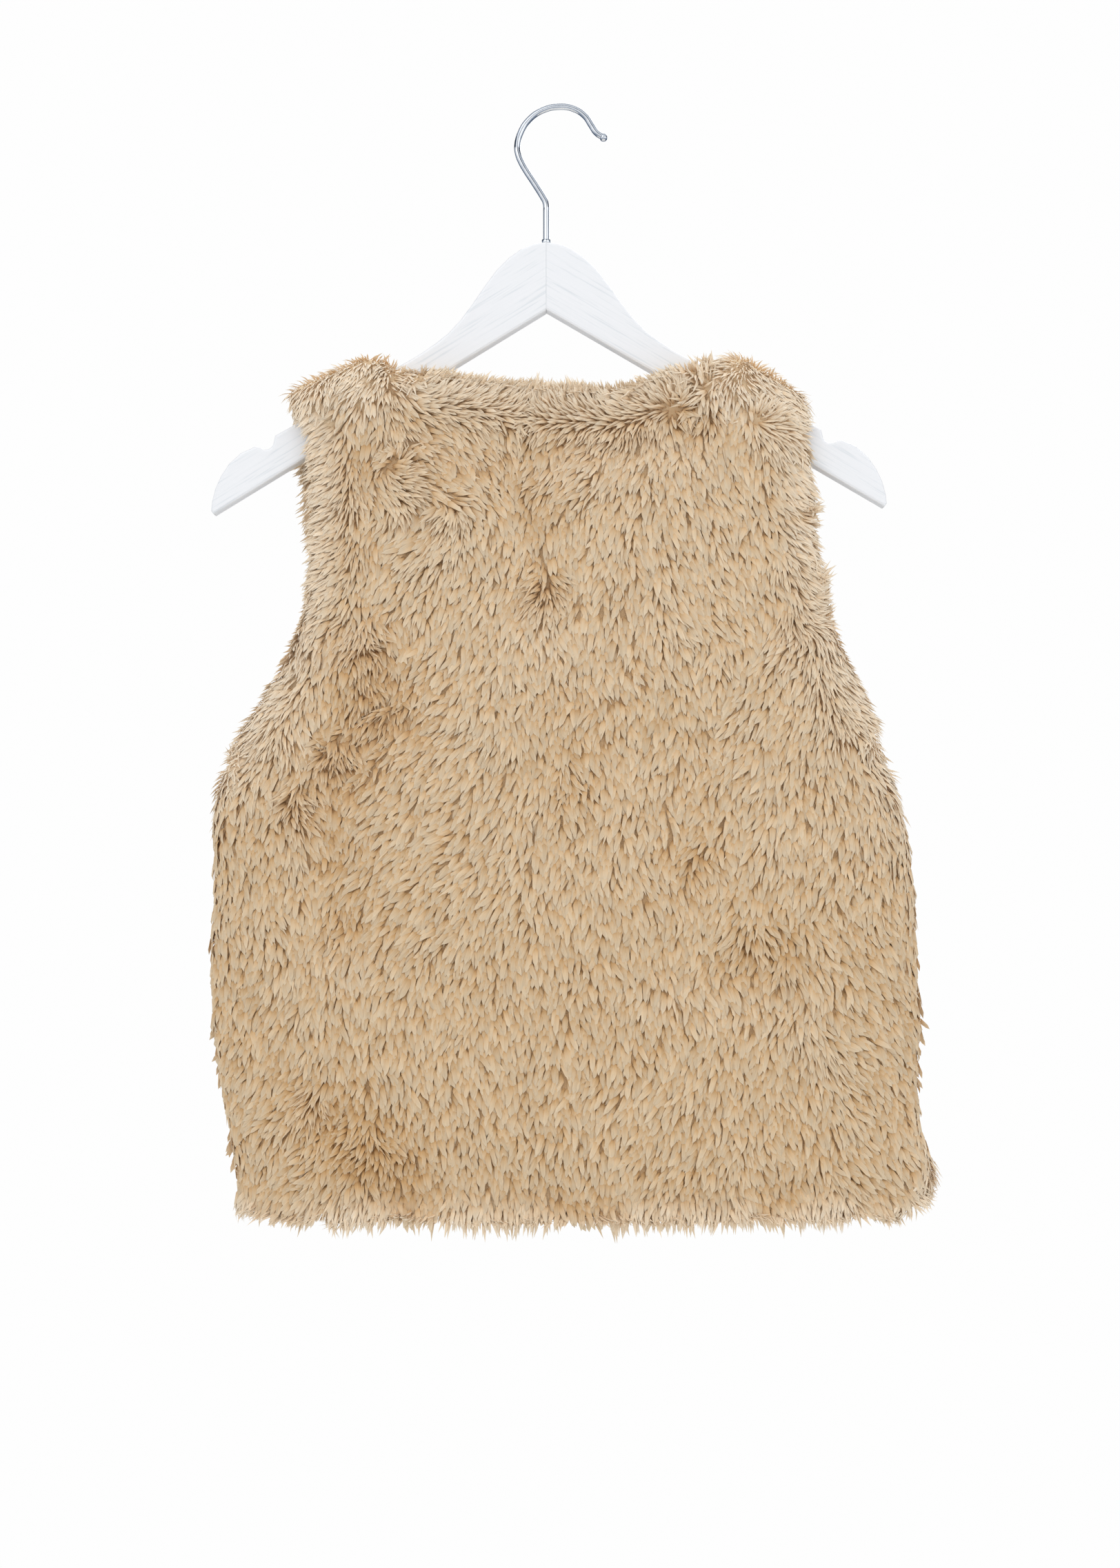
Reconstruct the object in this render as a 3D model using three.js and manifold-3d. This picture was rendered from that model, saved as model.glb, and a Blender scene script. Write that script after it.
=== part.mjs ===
// A sleeveless, open-fronted gilet of long-pile plush, hanging on a wooden hanger with a wire hook.
//
// Units are millimetres and Z is up. The origin is the inside of the hook's crown, where a rail
// carries it. X runs along the hanger, towards the wearer's right. The back of the gilet faces -Y
// and its open front faces +Y. Every cloth wall is as thick as its knitted backing and its pile
// together, so the outer faces lie where the tips of the pile are.

import * as THREE from "three";
import { mergeVertices } from "three/addons/utils/BufferGeometryUtils.js";
import Module from "manifold-3d";

const wasm = await Module();
wasm.setup();

// Driving sizes of the cloth
const wallThickness = 13;
const seamGap = 0.3;
const rimRadius = wallThickness / 2;
const rimLeast = 0.42; // share of the wall's half thickness that is left at a rounded edge
const sectionPower = 2.6; // 2 is an ellipse, and more is a flatter oval
const ridgeRound = 24; // height over which the cloth bends across the hanger's arm
const underarmZ = -428;
const neckVZ = -335; // where the two front edges leave each other
const neckVBend = 0.85; // under 1 bows the edges of the V outwards
const frontGap = 1.2;
const seatClearance = 0.5; // left free over the hanger's top edge where the wall is thickest

// Driving sizes of the hanger
const hangerX = -9; // the shank stands to the left of the hook's crown
const boardThickness = 12;
const boardEdge = 1.6; // width of the eased edges
const boardHalfLength = 219.6;
const undersideApexZ = -132.1;
const undersideSlope = 0.597;
const notchX = 183.6;
const notchZ = -215.2;
const notchRadius = 5.2;
const notchFrom = 184; // degrees round the notch, from the arm's top edge
const notchTo = 310;
const fitGap = 0.3;
const hangerTilt = -0.65; // degrees about Y, and the left end hangs lower
const hangerPivotZ = -98;

// Driving sizes of the hook
const wireRadius = 2;
const loopRadius = 28; // from the loop's centre to the middle of the wire
const shankBottomZ = -108;
const tipBallRadius = 2.6;
const collarRadius = 2.9;
const collarHeight = 2.4;

// Middle of the hook's wire, from the shank's bottom to the ball at its tip. The round stretch
// between its two parts is an arc about the loop's centre.
const hookNeck = [
  { x: hangerX, z: shankBottomZ },
  { x: hangerX, z: -85 },
  { x: hangerX, z: -64 },
  { x: -9.4, z: -60.5 },
  { x: -11, z: -57.4 },
  { x: -17, z: -47.8 },
  { x: -22, z: -40.2 },
  { x: -25.3, z: -34.4 },
  { x: -27.2, z: -29.6 },
];
const hookArc = [176, 156, 136, 114, 90, 72]; // degrees round the loop
const hookLip = [
  { x: 16.2, z: -4.2 },
  { x: 20.6, z: -10.6 },
  { x: 23.6, z: -15 },
  { x: 28.4, z: -18.2 },
];

// Half of the garment's outline at each height, and how far its back and its front stand out.
// left and right are the side seams below the underarm, and the widest the body would be above it.
const bodySections = [
  { z: -740, left: -202, right: 232, back: 37, front: 37 },
  { z: -720, left: -208, right: 240, back: 39, front: 39 },
  { z: -705, left: -210, right: 243, back: 40, front: 40 },
  { z: -690, left: -210, right: 242, back: 40, front: 41 },
  { z: -672, left: -212.5, right: 236, back: 41, front: 41 },
  { z: -640, left: -218, right: 231, back: 43, front: 42 },
  { z: -590, left: -224.5, right: 232, back: 44, front: 43 },
  { z: -540, left: -225.5, right: 230, back: 45, front: 44 },
  { z: -495, left: -222.5, right: 227, back: 45, front: 44 },
  { z: -460, left: -224.5, right: 221.5, back: 44, front: 43 },
  { z: -428, left: -218.5, right: 214, back: 42.5, front: 41.5 },
  { z: -385, left: -216, right: 211, back: 39.5, front: 39 },
  { z: -330, left: -212, right: 208, back: 35.5, front: 35.5 },
  { z: -260, left: -208, right: 203, back: 30, front: 31 },
  { z: -210, left: -206, right: 200, back: 26, front: 27 },
  { z: -150, left: -206, right: 200, back: 23, front: 24 },
];

// Armhole edges from the underarm to the tips of the shoulders. The left front hangs further out.
const armholes = [
  { z: -428, backLeft: -218.5, backRight: 214, frontLeft: -218.5, frontRight: 214 },
  { z: -420, backLeft: -214, backRight: 212.5, frontLeft: -217, frontRight: 208 },
  { z: -408, backLeft: -208, backRight: 210, frontLeft: -210, frontRight: 203 },
  { z: -390, backLeft: -196, backRight: 203, frontLeft: -195, frontRight: 193 },
  { z: -370, backLeft: -183, backRight: 193.5, frontLeft: -180, frontRight: 181 },
  { z: -345, backLeft: -170, backRight: 182, frontLeft: -168, frontRight: 170 },
  { z: -315, backLeft: -163.5, backRight: 174, frontLeft: -163, frontRight: 162 },
  { z: -280, backLeft: -162, backRight: 168, frontLeft: -166, frontRight: 158 },
  { z: -245, backLeft: -161.5, backRight: 165, frontLeft: -171, frontRight: 156 },
  { z: -218, backLeft: -164, backRight: 164, frontLeft: -175, frontRight: 158 },
  { z: -203, backLeft: -170, backRight: 165, frontLeft: -177, frontRight: 161 },
  { z: -190, backLeft: -177, backRight: 166, frontLeft: -180, frontRight: 164 },
];
const tipX = { left: -178, right: 166 };
const neckPointX = { left: -118, right: 100 };

// How far the ridge of each shoulder lies above the hanger's top edge
const ridgeLifts = [
  { x: -180, lift: 17 },
  { x: -173, lift: 22.5 },
  { x: -160, lift: 25 },
  { x: -147, lift: 23 },
  { x: -133, lift: 22 },
  { x: -118, lift: 15.5 },
  { x: 100, lift: 15 },
  { x: 113, lift: 21 },
  { x: 128, lift: 22 },
  { x: 145, lift: 23 },
  { x: 158, lift: 21.5 },
  { x: 166, lift: 17 },
];

// The back's neck edge, from one neck point to the other
const backNeck = [
  { x: -118, z: -160.2 },
  { x: -110, z: -167.5 },
  { x: -98, z: -171 },
  { x: -75, z: -173 },
  { x: -40, z: -177 },
  { x: 0, z: -181 },
  { x: 40, z: -181.5 },
  { x: 56, z: -175.5 },
  { x: 76, z: -168.5 },
  { x: 92, z: -165.5 },
  { x: 100, z: -159.6 },
];

const hemLine = [
  { x: -240, z: -704 },
  { x: -216, z: -713 },
  { x: -196, z: -721 },
  { x: -168, z: -723.5 },
  { x: -113, z: -718 },
  { x: -75, z: -721 },
  { x: 0, z: -722 },
  { x: 60, z: -721 },
  { x: 140, z: -720.5 },
  { x: 170, z: -717.5 },
  { x: 205, z: -721 },
  { x: 230, z: -716 },
  { x: 250, z: -702 },
];

// Soft troughs in the outer face, as lines with a width and a depth. The turned edges end in the
// long ones beside the armholes, the neck and the hem, and the others are dents in the pile.
const backTroughs = [
  { fromX: -142, fromZ: -205, toX: -140, toZ: -335, width: 14, depth: 4.5 },
  { fromX: -146, fromZ: -385, toX: -140, toZ: -535, width: 17, depth: 6 },
  { fromX: -196, fromZ: -420, toX: -150, toZ: -352, width: 14, depth: 3 },
  { fromX: 143, fromZ: -215, toX: 150, toZ: -330, width: 14, depth: 3.5 },
  { fromX: 150, fromZ: -330, toX: 184, toZ: -395, width: 14, depth: 3 },
  { fromX: -100, fromZ: -205, toX: 0, toZ: -216, width: 13, depth: 3 },
  { fromX: 0, fromZ: -218, toX: 90, toZ: -208, width: 12, depth: 4.5 },
  { fromX: -22, fromZ: -245, toX: -12, toZ: -322, width: 18, depth: 4.5 },
  { fromX: -12, fromZ: -430, toX: -2, toZ: -485, width: 20, depth: 3 },
  { fromX: 66, fromZ: -410, toX: 80, toZ: -500, width: 22, depth: 4 },
  { fromX: 60, fromZ: -545, toX: 150, toZ: -560, width: 20, depth: 3.5 },
  { fromX: -190, fromZ: -590, toX: -166, toZ: -640, width: 20, depth: 4 },
  { fromX: -128, fromZ: -640, toX: -80, toZ: -690, width: 19, depth: 4.5 },
  { fromX: -200, fromZ: -700, toX: 215, toZ: -698, width: 13, depth: 3 },
];
const frontTroughs = [
  { fromX: -140, fromZ: -215, toX: -146, toZ: -340, width: 14, depth: 3.5 },
  { fromX: 134, fromZ: -215, toX: 142, toZ: -340, width: 14, depth: 3.5 },
  { fromX: -150, fromZ: -410, toX: -136, toZ: -560, width: 19, depth: 4.5 },
  { fromX: 140, fromZ: -440, toX: 128, toZ: -570, width: 20, depth: 4 },
  { fromX: -70, fromZ: -390, toX: -60, toZ: -520, width: 19, depth: 3.5 },
  { fromX: 74, fromZ: -590, toX: 60, toZ: -680, width: 21, depth: 4 },
  { fromX: -200, fromZ: -700, toX: 215, toZ: -698, width: 13, depth: 3 },
];

// Grid of each panel. Lines lie closer beside the free edges, the neck points and the underarm.
const columnStep = 15;
const rowStep = 15;
const closeSteps = [0, 2, 6, 12];
const underarmRise = 4; // a close line runs this far above the underarm, where the wall opens
const steepest = 0.98; // the lines crowd no further than this share of the oval's half width

const edgeInset = seamGap / 2;
const clamp = THREE.MathUtils.clamp;
const lerp = THREE.MathUtils.lerp;

// The value of a column at a place between the rows of a table, on a smooth curve through them
function valueAt(table, key, column, place) {
  const rising = table[table.length - 1][key] > table[0][key];
  const rows = rising ? table : [...table].reverse();
  const p = clamp(place, rows[0][key], rows[rows.length - 1][key]);
  let i = 0;
  while (i < rows.length - 2 && rows[i + 1][key] < p) i += 1;
  const span = rows[i + 1][key] - rows[i][key];
  const slope = (j) => {
    const before = rows[Math.max(j - 1, 0)];
    const after = rows[Math.min(j + 1, rows.length - 1)];
    return (after[column] - before[column]) / (after[key] - before[key]);
  };
  const t = (p - rows[i][key]) / span;
  const t2 = t * t;
  const t3 = t2 * t;
  return (
    rows[i][column] * (2 * t3 - 3 * t2 + 1) +
    slope(i) * span * (t3 - 2 * t2 + t) +
    rows[i + 1][column] * (3 * t2 - 2 * t3) +
    slope(i + 1) * span * (t3 - t2)
  );
}

// Half of the hanger's board, from its crown to the rounded end, as distances from the shank
const boardTop = [
  { x: 0, z: -87.5 },
  { x: 11, z: -89.6 },
  { x: 23, z: -96.6 },
  { x: 35, z: -108.6 },
  { x: 47, z: -125.8 },
  { x: 62, z: -144.2 },
  { x: 80, z: -157.8 },
  { x: 97, z: -167.6 },
  { x: 137, z: -189.6 },
  { x: 177.5, z: -211.5 },
];
const boardEnd = [
  { x: 190.4, z: -218.4 },
  { x: 200, z: -222.6 },
  { x: 207.6, z: -229.4 },
  { x: 213, z: -237.4 },
  { x: 216.8, z: -245.6 },
  { x: 219, z: -254 },
];

const undersideZ = (d) => undersideApexZ - undersideSlope * d;
const tiltSlope = Math.tan(THREE.MathUtils.degToRad(-hangerTilt));
function hangerTopZ(x) {
  const away = Math.abs(x - hangerX);
  const past = Math.max(0, away - boardTop.at(-1).x) * undersideSlope;
  return valueAt(boardTop, "x", "z", away) - past + (x - hangerX) * tiltSlope;
}

const ridgeLift = (x) => valueAt(ridgeLifts, "x", "lift", x);
const ridgeZ = (x) => hangerTopZ(x) + ridgeLift(x);
const hemZ = (x) => valueAt(hemLine, "x", "z", x);
const bodyAt = (column, z) => valueAt(bodySections, "z", column, z);

// Depth of the troughs at a place, as the sum of soft lines
function troughDepth(troughs, x, z) {
  return troughs.reduce((sum, t) => {
    const dx = t.toX - t.fromX;
    const dz = t.toZ - t.fromZ;
    const along = ((x - t.fromX) * dx + (z - t.fromZ) * dz) / (dx * dx + dz * dz);
    const s = clamp(along, 0, 1);
    const away = Math.hypot(x - t.fromX - s * dx, z - t.fromZ - s * dz) / t.width;
    return sum + t.depth * Math.exp(-away * away);
  }, 0);
}

// How far the outer face stands from the plane of the seams. side is -1 for the back.
function faceDepth(side, x, z) {
  const left = bodyAt("left", z);
  const right = bodyAt("right", z);
  const across = clamp(Math.abs(x - (left + right) / 2) / ((right - left) / 2), 0, 1);
  const oval = (1 - across ** sectionPower) ** (1 / sectionPower);
  const below = clamp((ridgeZ(x) - z) / ridgeRound, 0, 1);
  const overArm = Math.sqrt(1 - (1 - below) ** 2);
  const full = bodyAt(side < 0 ? "back" : "front", z);
  const dents = troughDepth(side < 0 ? backTroughs : frontTroughs, x, z);
  return (full - dents) * oval * overArm;
}

// The way into the wall from a point of the outer face
function inwardAt(side, x, z) {
  const slopeX = faceDepth(side, x + 0.5, z) - faceDepth(side, x - 0.5, z);
  const slopeZ = faceDepth(side, x, z + 0.5) - faceDepth(side, x, z - 0.5);
  return new THREE.Vector3(slopeX, -side, slopeZ).normalize();
}

// A free edge as a line of points, from a function of a number from 0 to 1
const edgeLine = (at, count = 28) => Array.from({ length: count + 1 }, (_, i) => at(i / count));
function distanceTo(line, x, z) {
  let least = Infinity;
  for (let i = 0; i < line.length - 1; i += 1) {
    const [ax, az] = line[i];
    const dx = line[i + 1][0] - ax;
    const dz = line[i + 1][1] - az;
    const s = clamp(((x - ax) * dx + (z - az) * dz) / (dx * dx + dz * dz), 0, 1);
    least = Math.min(least, Math.hypot(x - ax - s * dx, z - az - s * dz));
  }
  return least;
}

// A panel lies between two upright edges, each from the hem to its top corner. Where an edge
// meets the hem is found by stepping along both a few times.
function upright(at, topZ) {
  let x = 0;
  for (let i = 0; i < 5; i += 1) x = at(hemZ(x));
  return { at, hemZ: hemZ(x), topZ };
}
const sideEdge = (column, seam) => (z) =>
  z < underarmZ ? bodyAt(seam, z) : valueAt(armholes, "z", column, z);
const seamMiddle = (z) => (bodyAt("left", z) + bodyAt("right", z)) / 2;
const frontEdge = (sign, neckX) => (z) => {
  const middle = seamMiddle(Math.min(z, neckVZ)) + (sign * frontGap) / 2;
  const up = clamp((z - neckVZ) / (ridgeZ(neckX) - neckVZ), 0, 1);
  return lerp(middle, neckX, up ** neckVBend);
};

// X of a panel's lines: they lie closer where the oval turns towards the side seams
function lineX(panel, u, v) {
  const { start, end } = panel;
  const startZ = lerp(start.hemZ, start.topZ, v);
  const endZ = lerp(end.hemZ, end.topZ, v);
  const z = (startZ + endZ) / 2;
  const half = (bodyAt("right", z) - bodyAt("left", z)) / 2;
  const angle = (x) => Math.asin(clamp((x - seamMiddle(z)) / half, -steepest, steepest));
  const low = angle(start.at(startZ));
  const high = angle(end.at(endZ));
  const share = (Math.sin(lerp(low, high, u)) - Math.sin(low)) / (Math.sin(high) - Math.sin(low));
  return lerp(start.at(startZ), end.at(endZ), share);
}

// The share across at which a panel's line reaches an X of the top row
function shareAtTop(panel, x) {
  let low = 0;
  let high = 1;
  for (let i = 0; i < 40; i += 1) {
    const middle = (low + high) / 2;
    if (lineX(panel, middle, 1) < x) low = middle;
    else high = middle;
  }
  return (low + high) / 2;
}

// Numbers from 0 to a length, close together beside the given places and evenly spread between
function closeLines(length, places, step) {
  const close = places.flatMap((p) => closeSteps.flatMap((d) => [p - d, p + d]));
  const kept = [...new Set(close.filter((p) => p >= 0 && p <= length))].sort((a, b) => a - b);
  return kept.flatMap((p, i) => {
    const span = (kept[i + 1] ?? p) - p;
    const parts = Math.max(1, Math.ceil(span / step - 0.2));
    return Array.from({ length: parts }, (_, j) => p + (span * j) / parts);
  });
}

// A closed wall: the inner face lies a wall's thickness further in, and free edges are rounded
function panelGeometry(panel) {
  const { side } = panel;
  const outer = [];
  const inner = [];
  for (const v of panel.vs) {
    for (const u of panel.us) {
      const x = lineX(panel, u, v);
      const z = lerp(hemZ(lineX(panel, u, 0)), panel.topZ(lineX(panel, u, 1)), v);
      const p = new THREE.Vector3(x, side * Math.max(edgeInset, faceDepth(side, x, z)), z);
      const inward = inwardAt(side, x, z);
      const ridge = clamp((ridgeZ(x) - z) / ridgeRound, 0, 1);
      const overHanger = Math.max(wallThickness, ridgeLift(x) - seatClearance);
      const thickness = lerp(overHanger, wallThickness, 1 - (1 - ridge) ** 2);
      const away = Math.min(...panel.freeEdges.map((line) => distanceTo(line, x, z)));
      const d = clamp(away / rimRadius, 0, 1);
      const round = Math.max(rimLeast, Math.sqrt(1 - (1 - d) ** 2));
      const drop = ((1 - round) * wallThickness) / 2;
      const put = (distance) => {
        const q = p.clone().addScaledVector(inward, distance);
        q.y = side * Math.max(edgeInset, side * q.y);
        return q;
      };
      outer.push(put(drop));
      inner.push(put(thickness - drop));
    }
  }
  return closedSheet(outer, inner, panel.us.length, panel.vs.length);
}

// Joins two grids of points into one closed body
function closedSheet(outer, inner, columns, rows) {
  const positions = [...outer, ...inner].flatMap((p) => [p.x, p.y, p.z]);
  const count = outer.length;
  const index = [];
  const at = (i, j) => j * columns + i;
  const quad = (a, b, c, d) => index.push(a, b, c, a, c, d);
  for (let j = 0; j < rows - 1; j += 1) {
    for (let i = 0; i < columns - 1; i += 1) {
      quad(at(i, j), at(i + 1, j), at(i + 1, j + 1), at(i, j + 1));
      quad(count + at(i, j), count + at(i, j + 1), count + at(i + 1, j + 1), count + at(i + 1, j));
    }
  }
  const wall = (a, b) => quad(a, count + a, count + b, b);
  for (let i = 0; i < columns - 1; i += 1) {
    wall(at(i, 0), at(i + 1, 0));
    wall(at(i + 1, rows - 1), at(i, rows - 1));
  }
  for (let j = 0; j < rows - 1; j += 1) {
    wall(at(columns - 1, j), at(columns - 1, j + 1));
    wall(at(0, j + 1), at(0, j));
  }
  const geometry = new THREE.BufferGeometry();
  geometry.setAttribute("position", new THREE.Float32BufferAttribute(positions, 3));
  geometry.setIndex(index);
  return geometry;
}

// Solids for joining and cutting
function solidOf(geometry) {
  const bare = geometry.index ? geometry.toNonIndexed() : geometry.clone();
  for (const name of Object.keys(bare.attributes)) {
    if (name !== "position") bare.deleteAttribute(name);
  }
  const merged = mergeVertices(bare, 1e-3);
  const build = (triVerts) =>
    new wasm.Manifold(
      new wasm.Mesh({ numProp: 3, vertProperties: merged.attributes.position.array, triVerts }),
    );
  const triVerts = new Uint32Array(merged.index.array);
  const made = build(triVerts);
  if (made.volume() > 0) return made;
  for (let i = 0; i < triVerts.length; i += 3) {
    [triVerts[i + 1], triVerts[i + 2]] = [triVerts[i + 2], triVerts[i + 1]];
  }
  return build(triVerts);
}
function geometryOf(solid) {
  const mesh = solid.getMesh();
  const positions = new Float32Array(mesh.numVert * 3);
  for (let i = 0; i < mesh.numVert; i += 1) {
    const from = i * mesh.numProp;
    positions.set(mesh.vertProperties.subarray(from, from + 3), i * 3);
  }
  const geometry = new THREE.BufferGeometry();
  geometry.setAttribute("position", new THREE.BufferAttribute(positions, 3));
  geometry.setIndex(new THREE.BufferAttribute(mesh.triVerts, 1));
  return geometry;
}

// Half of the board's outline from its crown out to its tip, notch included
function boardHalf() {
  const crownSteps = 22;
  const crown = Array.from({ length: crownSteps + 1 }, (_, i) => {
    const x = (boardTop.at(-1).x * i) / crownSteps;
    return { x, z: valueAt(boardTop, "x", "z", x) };
  });
  const notchSteps = 7;
  const notch = Array.from({ length: notchSteps + 1 }, (_, i) => {
    const a = THREE.MathUtils.degToRad(lerp(notchFrom, notchTo, i / notchSteps));
    return { x: notchX + notchRadius * Math.cos(a), z: notchZ + notchRadius * Math.sin(a) };
  });
  const tip = [
    { x: boardHalfLength, z: undersideZ(boardHalfLength) + 2 * boardEdge },
    { x: boardHalfLength - boardEdge, z: undersideZ(boardHalfLength - boardEdge) },
  ];
  return [...crown, ...notch, ...boardEnd, ...tip];
}

// The hanger's board, upright in XZ. grow moves every face out, to cut its seat in the cloth.
function boardSolid(grow) {
  const half = boardHalf();
  const shape = new THREE.Shape([
    ...half.map(({ x, z }) => new THREE.Vector2(x, z)),
    new THREE.Vector2(0, undersideApexZ),
    ...half.slice(1).reverse().map(({ x, z }) => new THREE.Vector2(-x, z)),
  ]);
  const geometry = new THREE.ExtrudeGeometry(shape, {
    depth: boardThickness - 2 * boardEdge,
    bevelEnabled: true,
    bevelThickness: boardEdge + grow,
    bevelSize: boardEdge,
    bevelOffset: grow - boardEdge,
    bevelSegments: 2,
  });
  geometry.translate(0, 0, boardEdge - boardThickness / 2);
  geometry.rotateX(Math.PI / 2);
  geometry.translate(0, 0, -hangerPivotZ);
  geometry.rotateY(THREE.MathUtils.degToRad(hangerTilt));
  geometry.translate(hangerX, 0, hangerPivotZ);
  return solidOf(geometry);
}

// One arm of the hanger, up to the glued joint in the middle, with its half of the shank's hole
function armSolid(board, sign) {
  const beyond = 400; // longer than the arm every way
  const halfSpace = new THREE.BoxGeometry(beyond, beyond, beyond);
  halfSpace.translate(hangerX + (sign * (beyond + fitGap)) / 2, 0, undersideApexZ);
  const boreLength = boardTop[0].z - shankBottomZ + beyond;
  const boreRadius = wireRadius + fitGap;
  const bore = new THREE.CylinderGeometry(boreRadius, boreRadius, boreLength, 16);
  bore.rotateX(Math.PI / 2);
  bore.translate(hangerX, 0, shankBottomZ - fitGap + boreLength / 2);
  return board.intersect(solidOf(halfSpace)).subtract(solidOf(bore));
}

// The hook: a straight shank, a slanting neck, most of a circle and an outward lip with a ball end
function hookSolid() {
  const loopZ = wireRadius - loopRadius;
  const arc = hookArc.map((degrees) => {
    const a = THREE.MathUtils.degToRad(degrees);
    return { x: loopRadius * Math.cos(a), z: loopZ + loopRadius * Math.sin(a) };
  });
  const route = [...hookNeck, ...arc, ...hookLip].map(({ x, z }) => new THREE.Vector3(x, 0, z));
  const path = new THREE.CatmullRomCurve3(route, false, "centripetal");
  const sides = 8;
  const section = new THREE.Shape().absarc(0, 0, wireRadius, 0, Math.PI * 2, false);
  const ring = new THREE.Shape(section.getPoints(sides).slice(0, sides));
  const wire = new THREE.ExtrudeGeometry(ring, { steps: 46, extrudePath: path, bevelEnabled: false });
  const ball = new THREE.SphereGeometry(tipBallRadius, 10, 7);
  ball.translate(hookLip.at(-1).x, 0, hookLip.at(-1).z);
  const collar = new THREE.CylinderGeometry(collarRadius, collarRadius, collarHeight, 16);
  collar.rotateX(Math.PI / 2);
  collar.translate(hangerX, 0, boardTop[0].z + fitGap + collarHeight / 2);
  return solidOf(wire).add(solidOf(ball)).add(solidOf(collar));
}

// Materials
const plush = new THREE.MeshStandardMaterial({ color: "#cbb08c", roughness: 0.95, metalness: 0 });
const paintedWood = new THREE.MeshStandardMaterial({ color: "#f1f3f6", roughness: 0.45 });
const chrome = new THREE.MeshStandardMaterial({ color: "#c9ced6", roughness: 0.12, metalness: 1 });

const board = boardSolid(0);
const seat = boardSolid(fitGap);

const neckLine = (from, to, at) => edgeLine((t) => [lerp(from, to, t), at(lerp(from, to, t))]);
const uprightLine = (edge, fromZ) =>
  edgeLine((t) => [edge.at(lerp(fromZ, edge.topZ, t)), lerp(fromZ, edge.topZ, t)]);
const hemEnds = [hemLine[0].x, hemLine.at(-1).x];
const hemEdge = edgeLine((t) => [lerp(...hemEnds, t), hemZ(lerp(...hemEnds, t))], 60);

// Places the lines of a panel's grid, across it and up it
function withLines(panel, closeX) {
  const { start, end } = panel;
  const startX = start.at(start.topZ);
  const width = end.at(end.topZ) - startX;
  const height = start.topZ - start.hemZ;
  const across = closeLines(width, [0, ...closeX.map((x) => x - startX), width], columnStep);
  const up = closeLines(height, [0, underarmZ - start.hemZ + underarmRise, height], rowStep);
  const us = across.map((d) => shareAtTop(panel, startX + d));
  us[0] = 0;
  us[us.length - 1] = 1;
  return { ...panel, us, vs: up.map((d) => d / height) };
}

function backPanel() {
  const start = upright(sideEdge("backLeft", "left"), ridgeZ(tipX.left));
  const end = upright(sideEdge("backRight", "right"), ridgeZ(tipX.right));
  const inNeck = (x) => x > neckPointX.left && x < neckPointX.right;
  const topZ = (x) => (inNeck(x) ? valueAt(backNeck, "x", "z", x) : ridgeZ(x));
  const freeEdges = [
    uprightLine(start, underarmZ),
    uprightLine(end, underarmZ),
    neckLine(neckPointX.left, neckPointX.right, topZ),
    hemEdge,
  ];
  const closeX = [neckPointX.left, neckPointX.right];
  return withLines({ side: -1, start, end, topZ, freeEdges }, closeX);
}

function frontPanel(hand, column, sign) {
  const outside = upright(sideEdge(column, hand), ridgeZ(tipX[hand]));
  const middle = upright(frontEdge(sign, neckPointX[hand]), ridgeZ(neckPointX[hand]));
  const [start, end] = sign < 0 ? [outside, middle] : [middle, outside];
  const lowest = Math.min(...hemLine.map((row) => row.z));
  const freeEdges = [uprightLine(outside, underarmZ), uprightLine(middle, lowest), hemEdge];
  return withLines({ side: 1, start, end, topZ: ridgeZ, freeEdges }, []);
}

const gilet = new THREE.Group();
function addPiece(name, solid, material) {
  const mesh = new THREE.Mesh(geometryOf(solid), material);
  mesh.name = name;
  gilet.add(mesh);
}

const clothSolid = (panel) => solidOf(panelGeometry(panel)).subtract(seat);
addPiece("back", clothSolid(backPanel()), plush);
addPiece("front_left", clothSolid(frontPanel("left", "frontLeft", -1)), plush);
addPiece("front_right", clothSolid(frontPanel("right", "frontRight", 1)), plush);
addPiece("hanger_arm_left", armSolid(board, -1), paintedWood);
addPiece("hanger_arm_right", armSolid(board, 1), paintedWood);
addPiece("hook", hookSolid(), chrome);

export default gilet;
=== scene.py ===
# %% [markdown]
# # A long-pile gilet on a white wooden hanger
#
# The real thing is a short sleeveless gilet, sewn from plush: a knitted backing with a long soft
# pile of synthetic fibre. It hangs on a flat wooden hanger that is painted white, and the camera
# looks at its back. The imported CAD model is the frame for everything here. Its cloth walls are as
# thick as backing and pile together, so this script makes the thin backing inside each wall and
# grows the pile on it, out to where the wall's outer face lies.

# %% The frame and its size
import math

import bmesh
import bpy
import numpy as np
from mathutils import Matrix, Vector, kdtree, noise


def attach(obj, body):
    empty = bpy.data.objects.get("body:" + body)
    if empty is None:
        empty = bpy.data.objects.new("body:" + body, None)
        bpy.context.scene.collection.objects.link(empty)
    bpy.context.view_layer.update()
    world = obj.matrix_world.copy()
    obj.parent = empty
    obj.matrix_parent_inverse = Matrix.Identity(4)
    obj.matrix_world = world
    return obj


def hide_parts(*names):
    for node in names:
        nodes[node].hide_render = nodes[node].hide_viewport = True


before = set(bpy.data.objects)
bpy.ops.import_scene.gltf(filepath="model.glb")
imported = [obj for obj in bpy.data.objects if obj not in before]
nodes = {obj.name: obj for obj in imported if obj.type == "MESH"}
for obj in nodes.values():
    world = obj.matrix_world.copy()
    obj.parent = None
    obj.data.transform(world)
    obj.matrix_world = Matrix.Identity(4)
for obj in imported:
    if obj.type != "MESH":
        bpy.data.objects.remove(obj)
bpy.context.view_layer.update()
MM = 0.001

# %% [markdown]
# ## The camera and the light
#
# The photograph is a cut-out on white, taken level with the middle of the gilet. Its frame is
# 1624 by 2274 pixels, and the hanger is 440 mm wide and 976 pixels across, so a pixel is 0.45 mm
# on the hanger's plane. The strip of the hanger's underside that shows says that the camera was
# little more than a metre away. The light is a big soft source in front and above, with white
# walls all round, which leaves soft shadows between the locks of pile and none on the ground.

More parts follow.
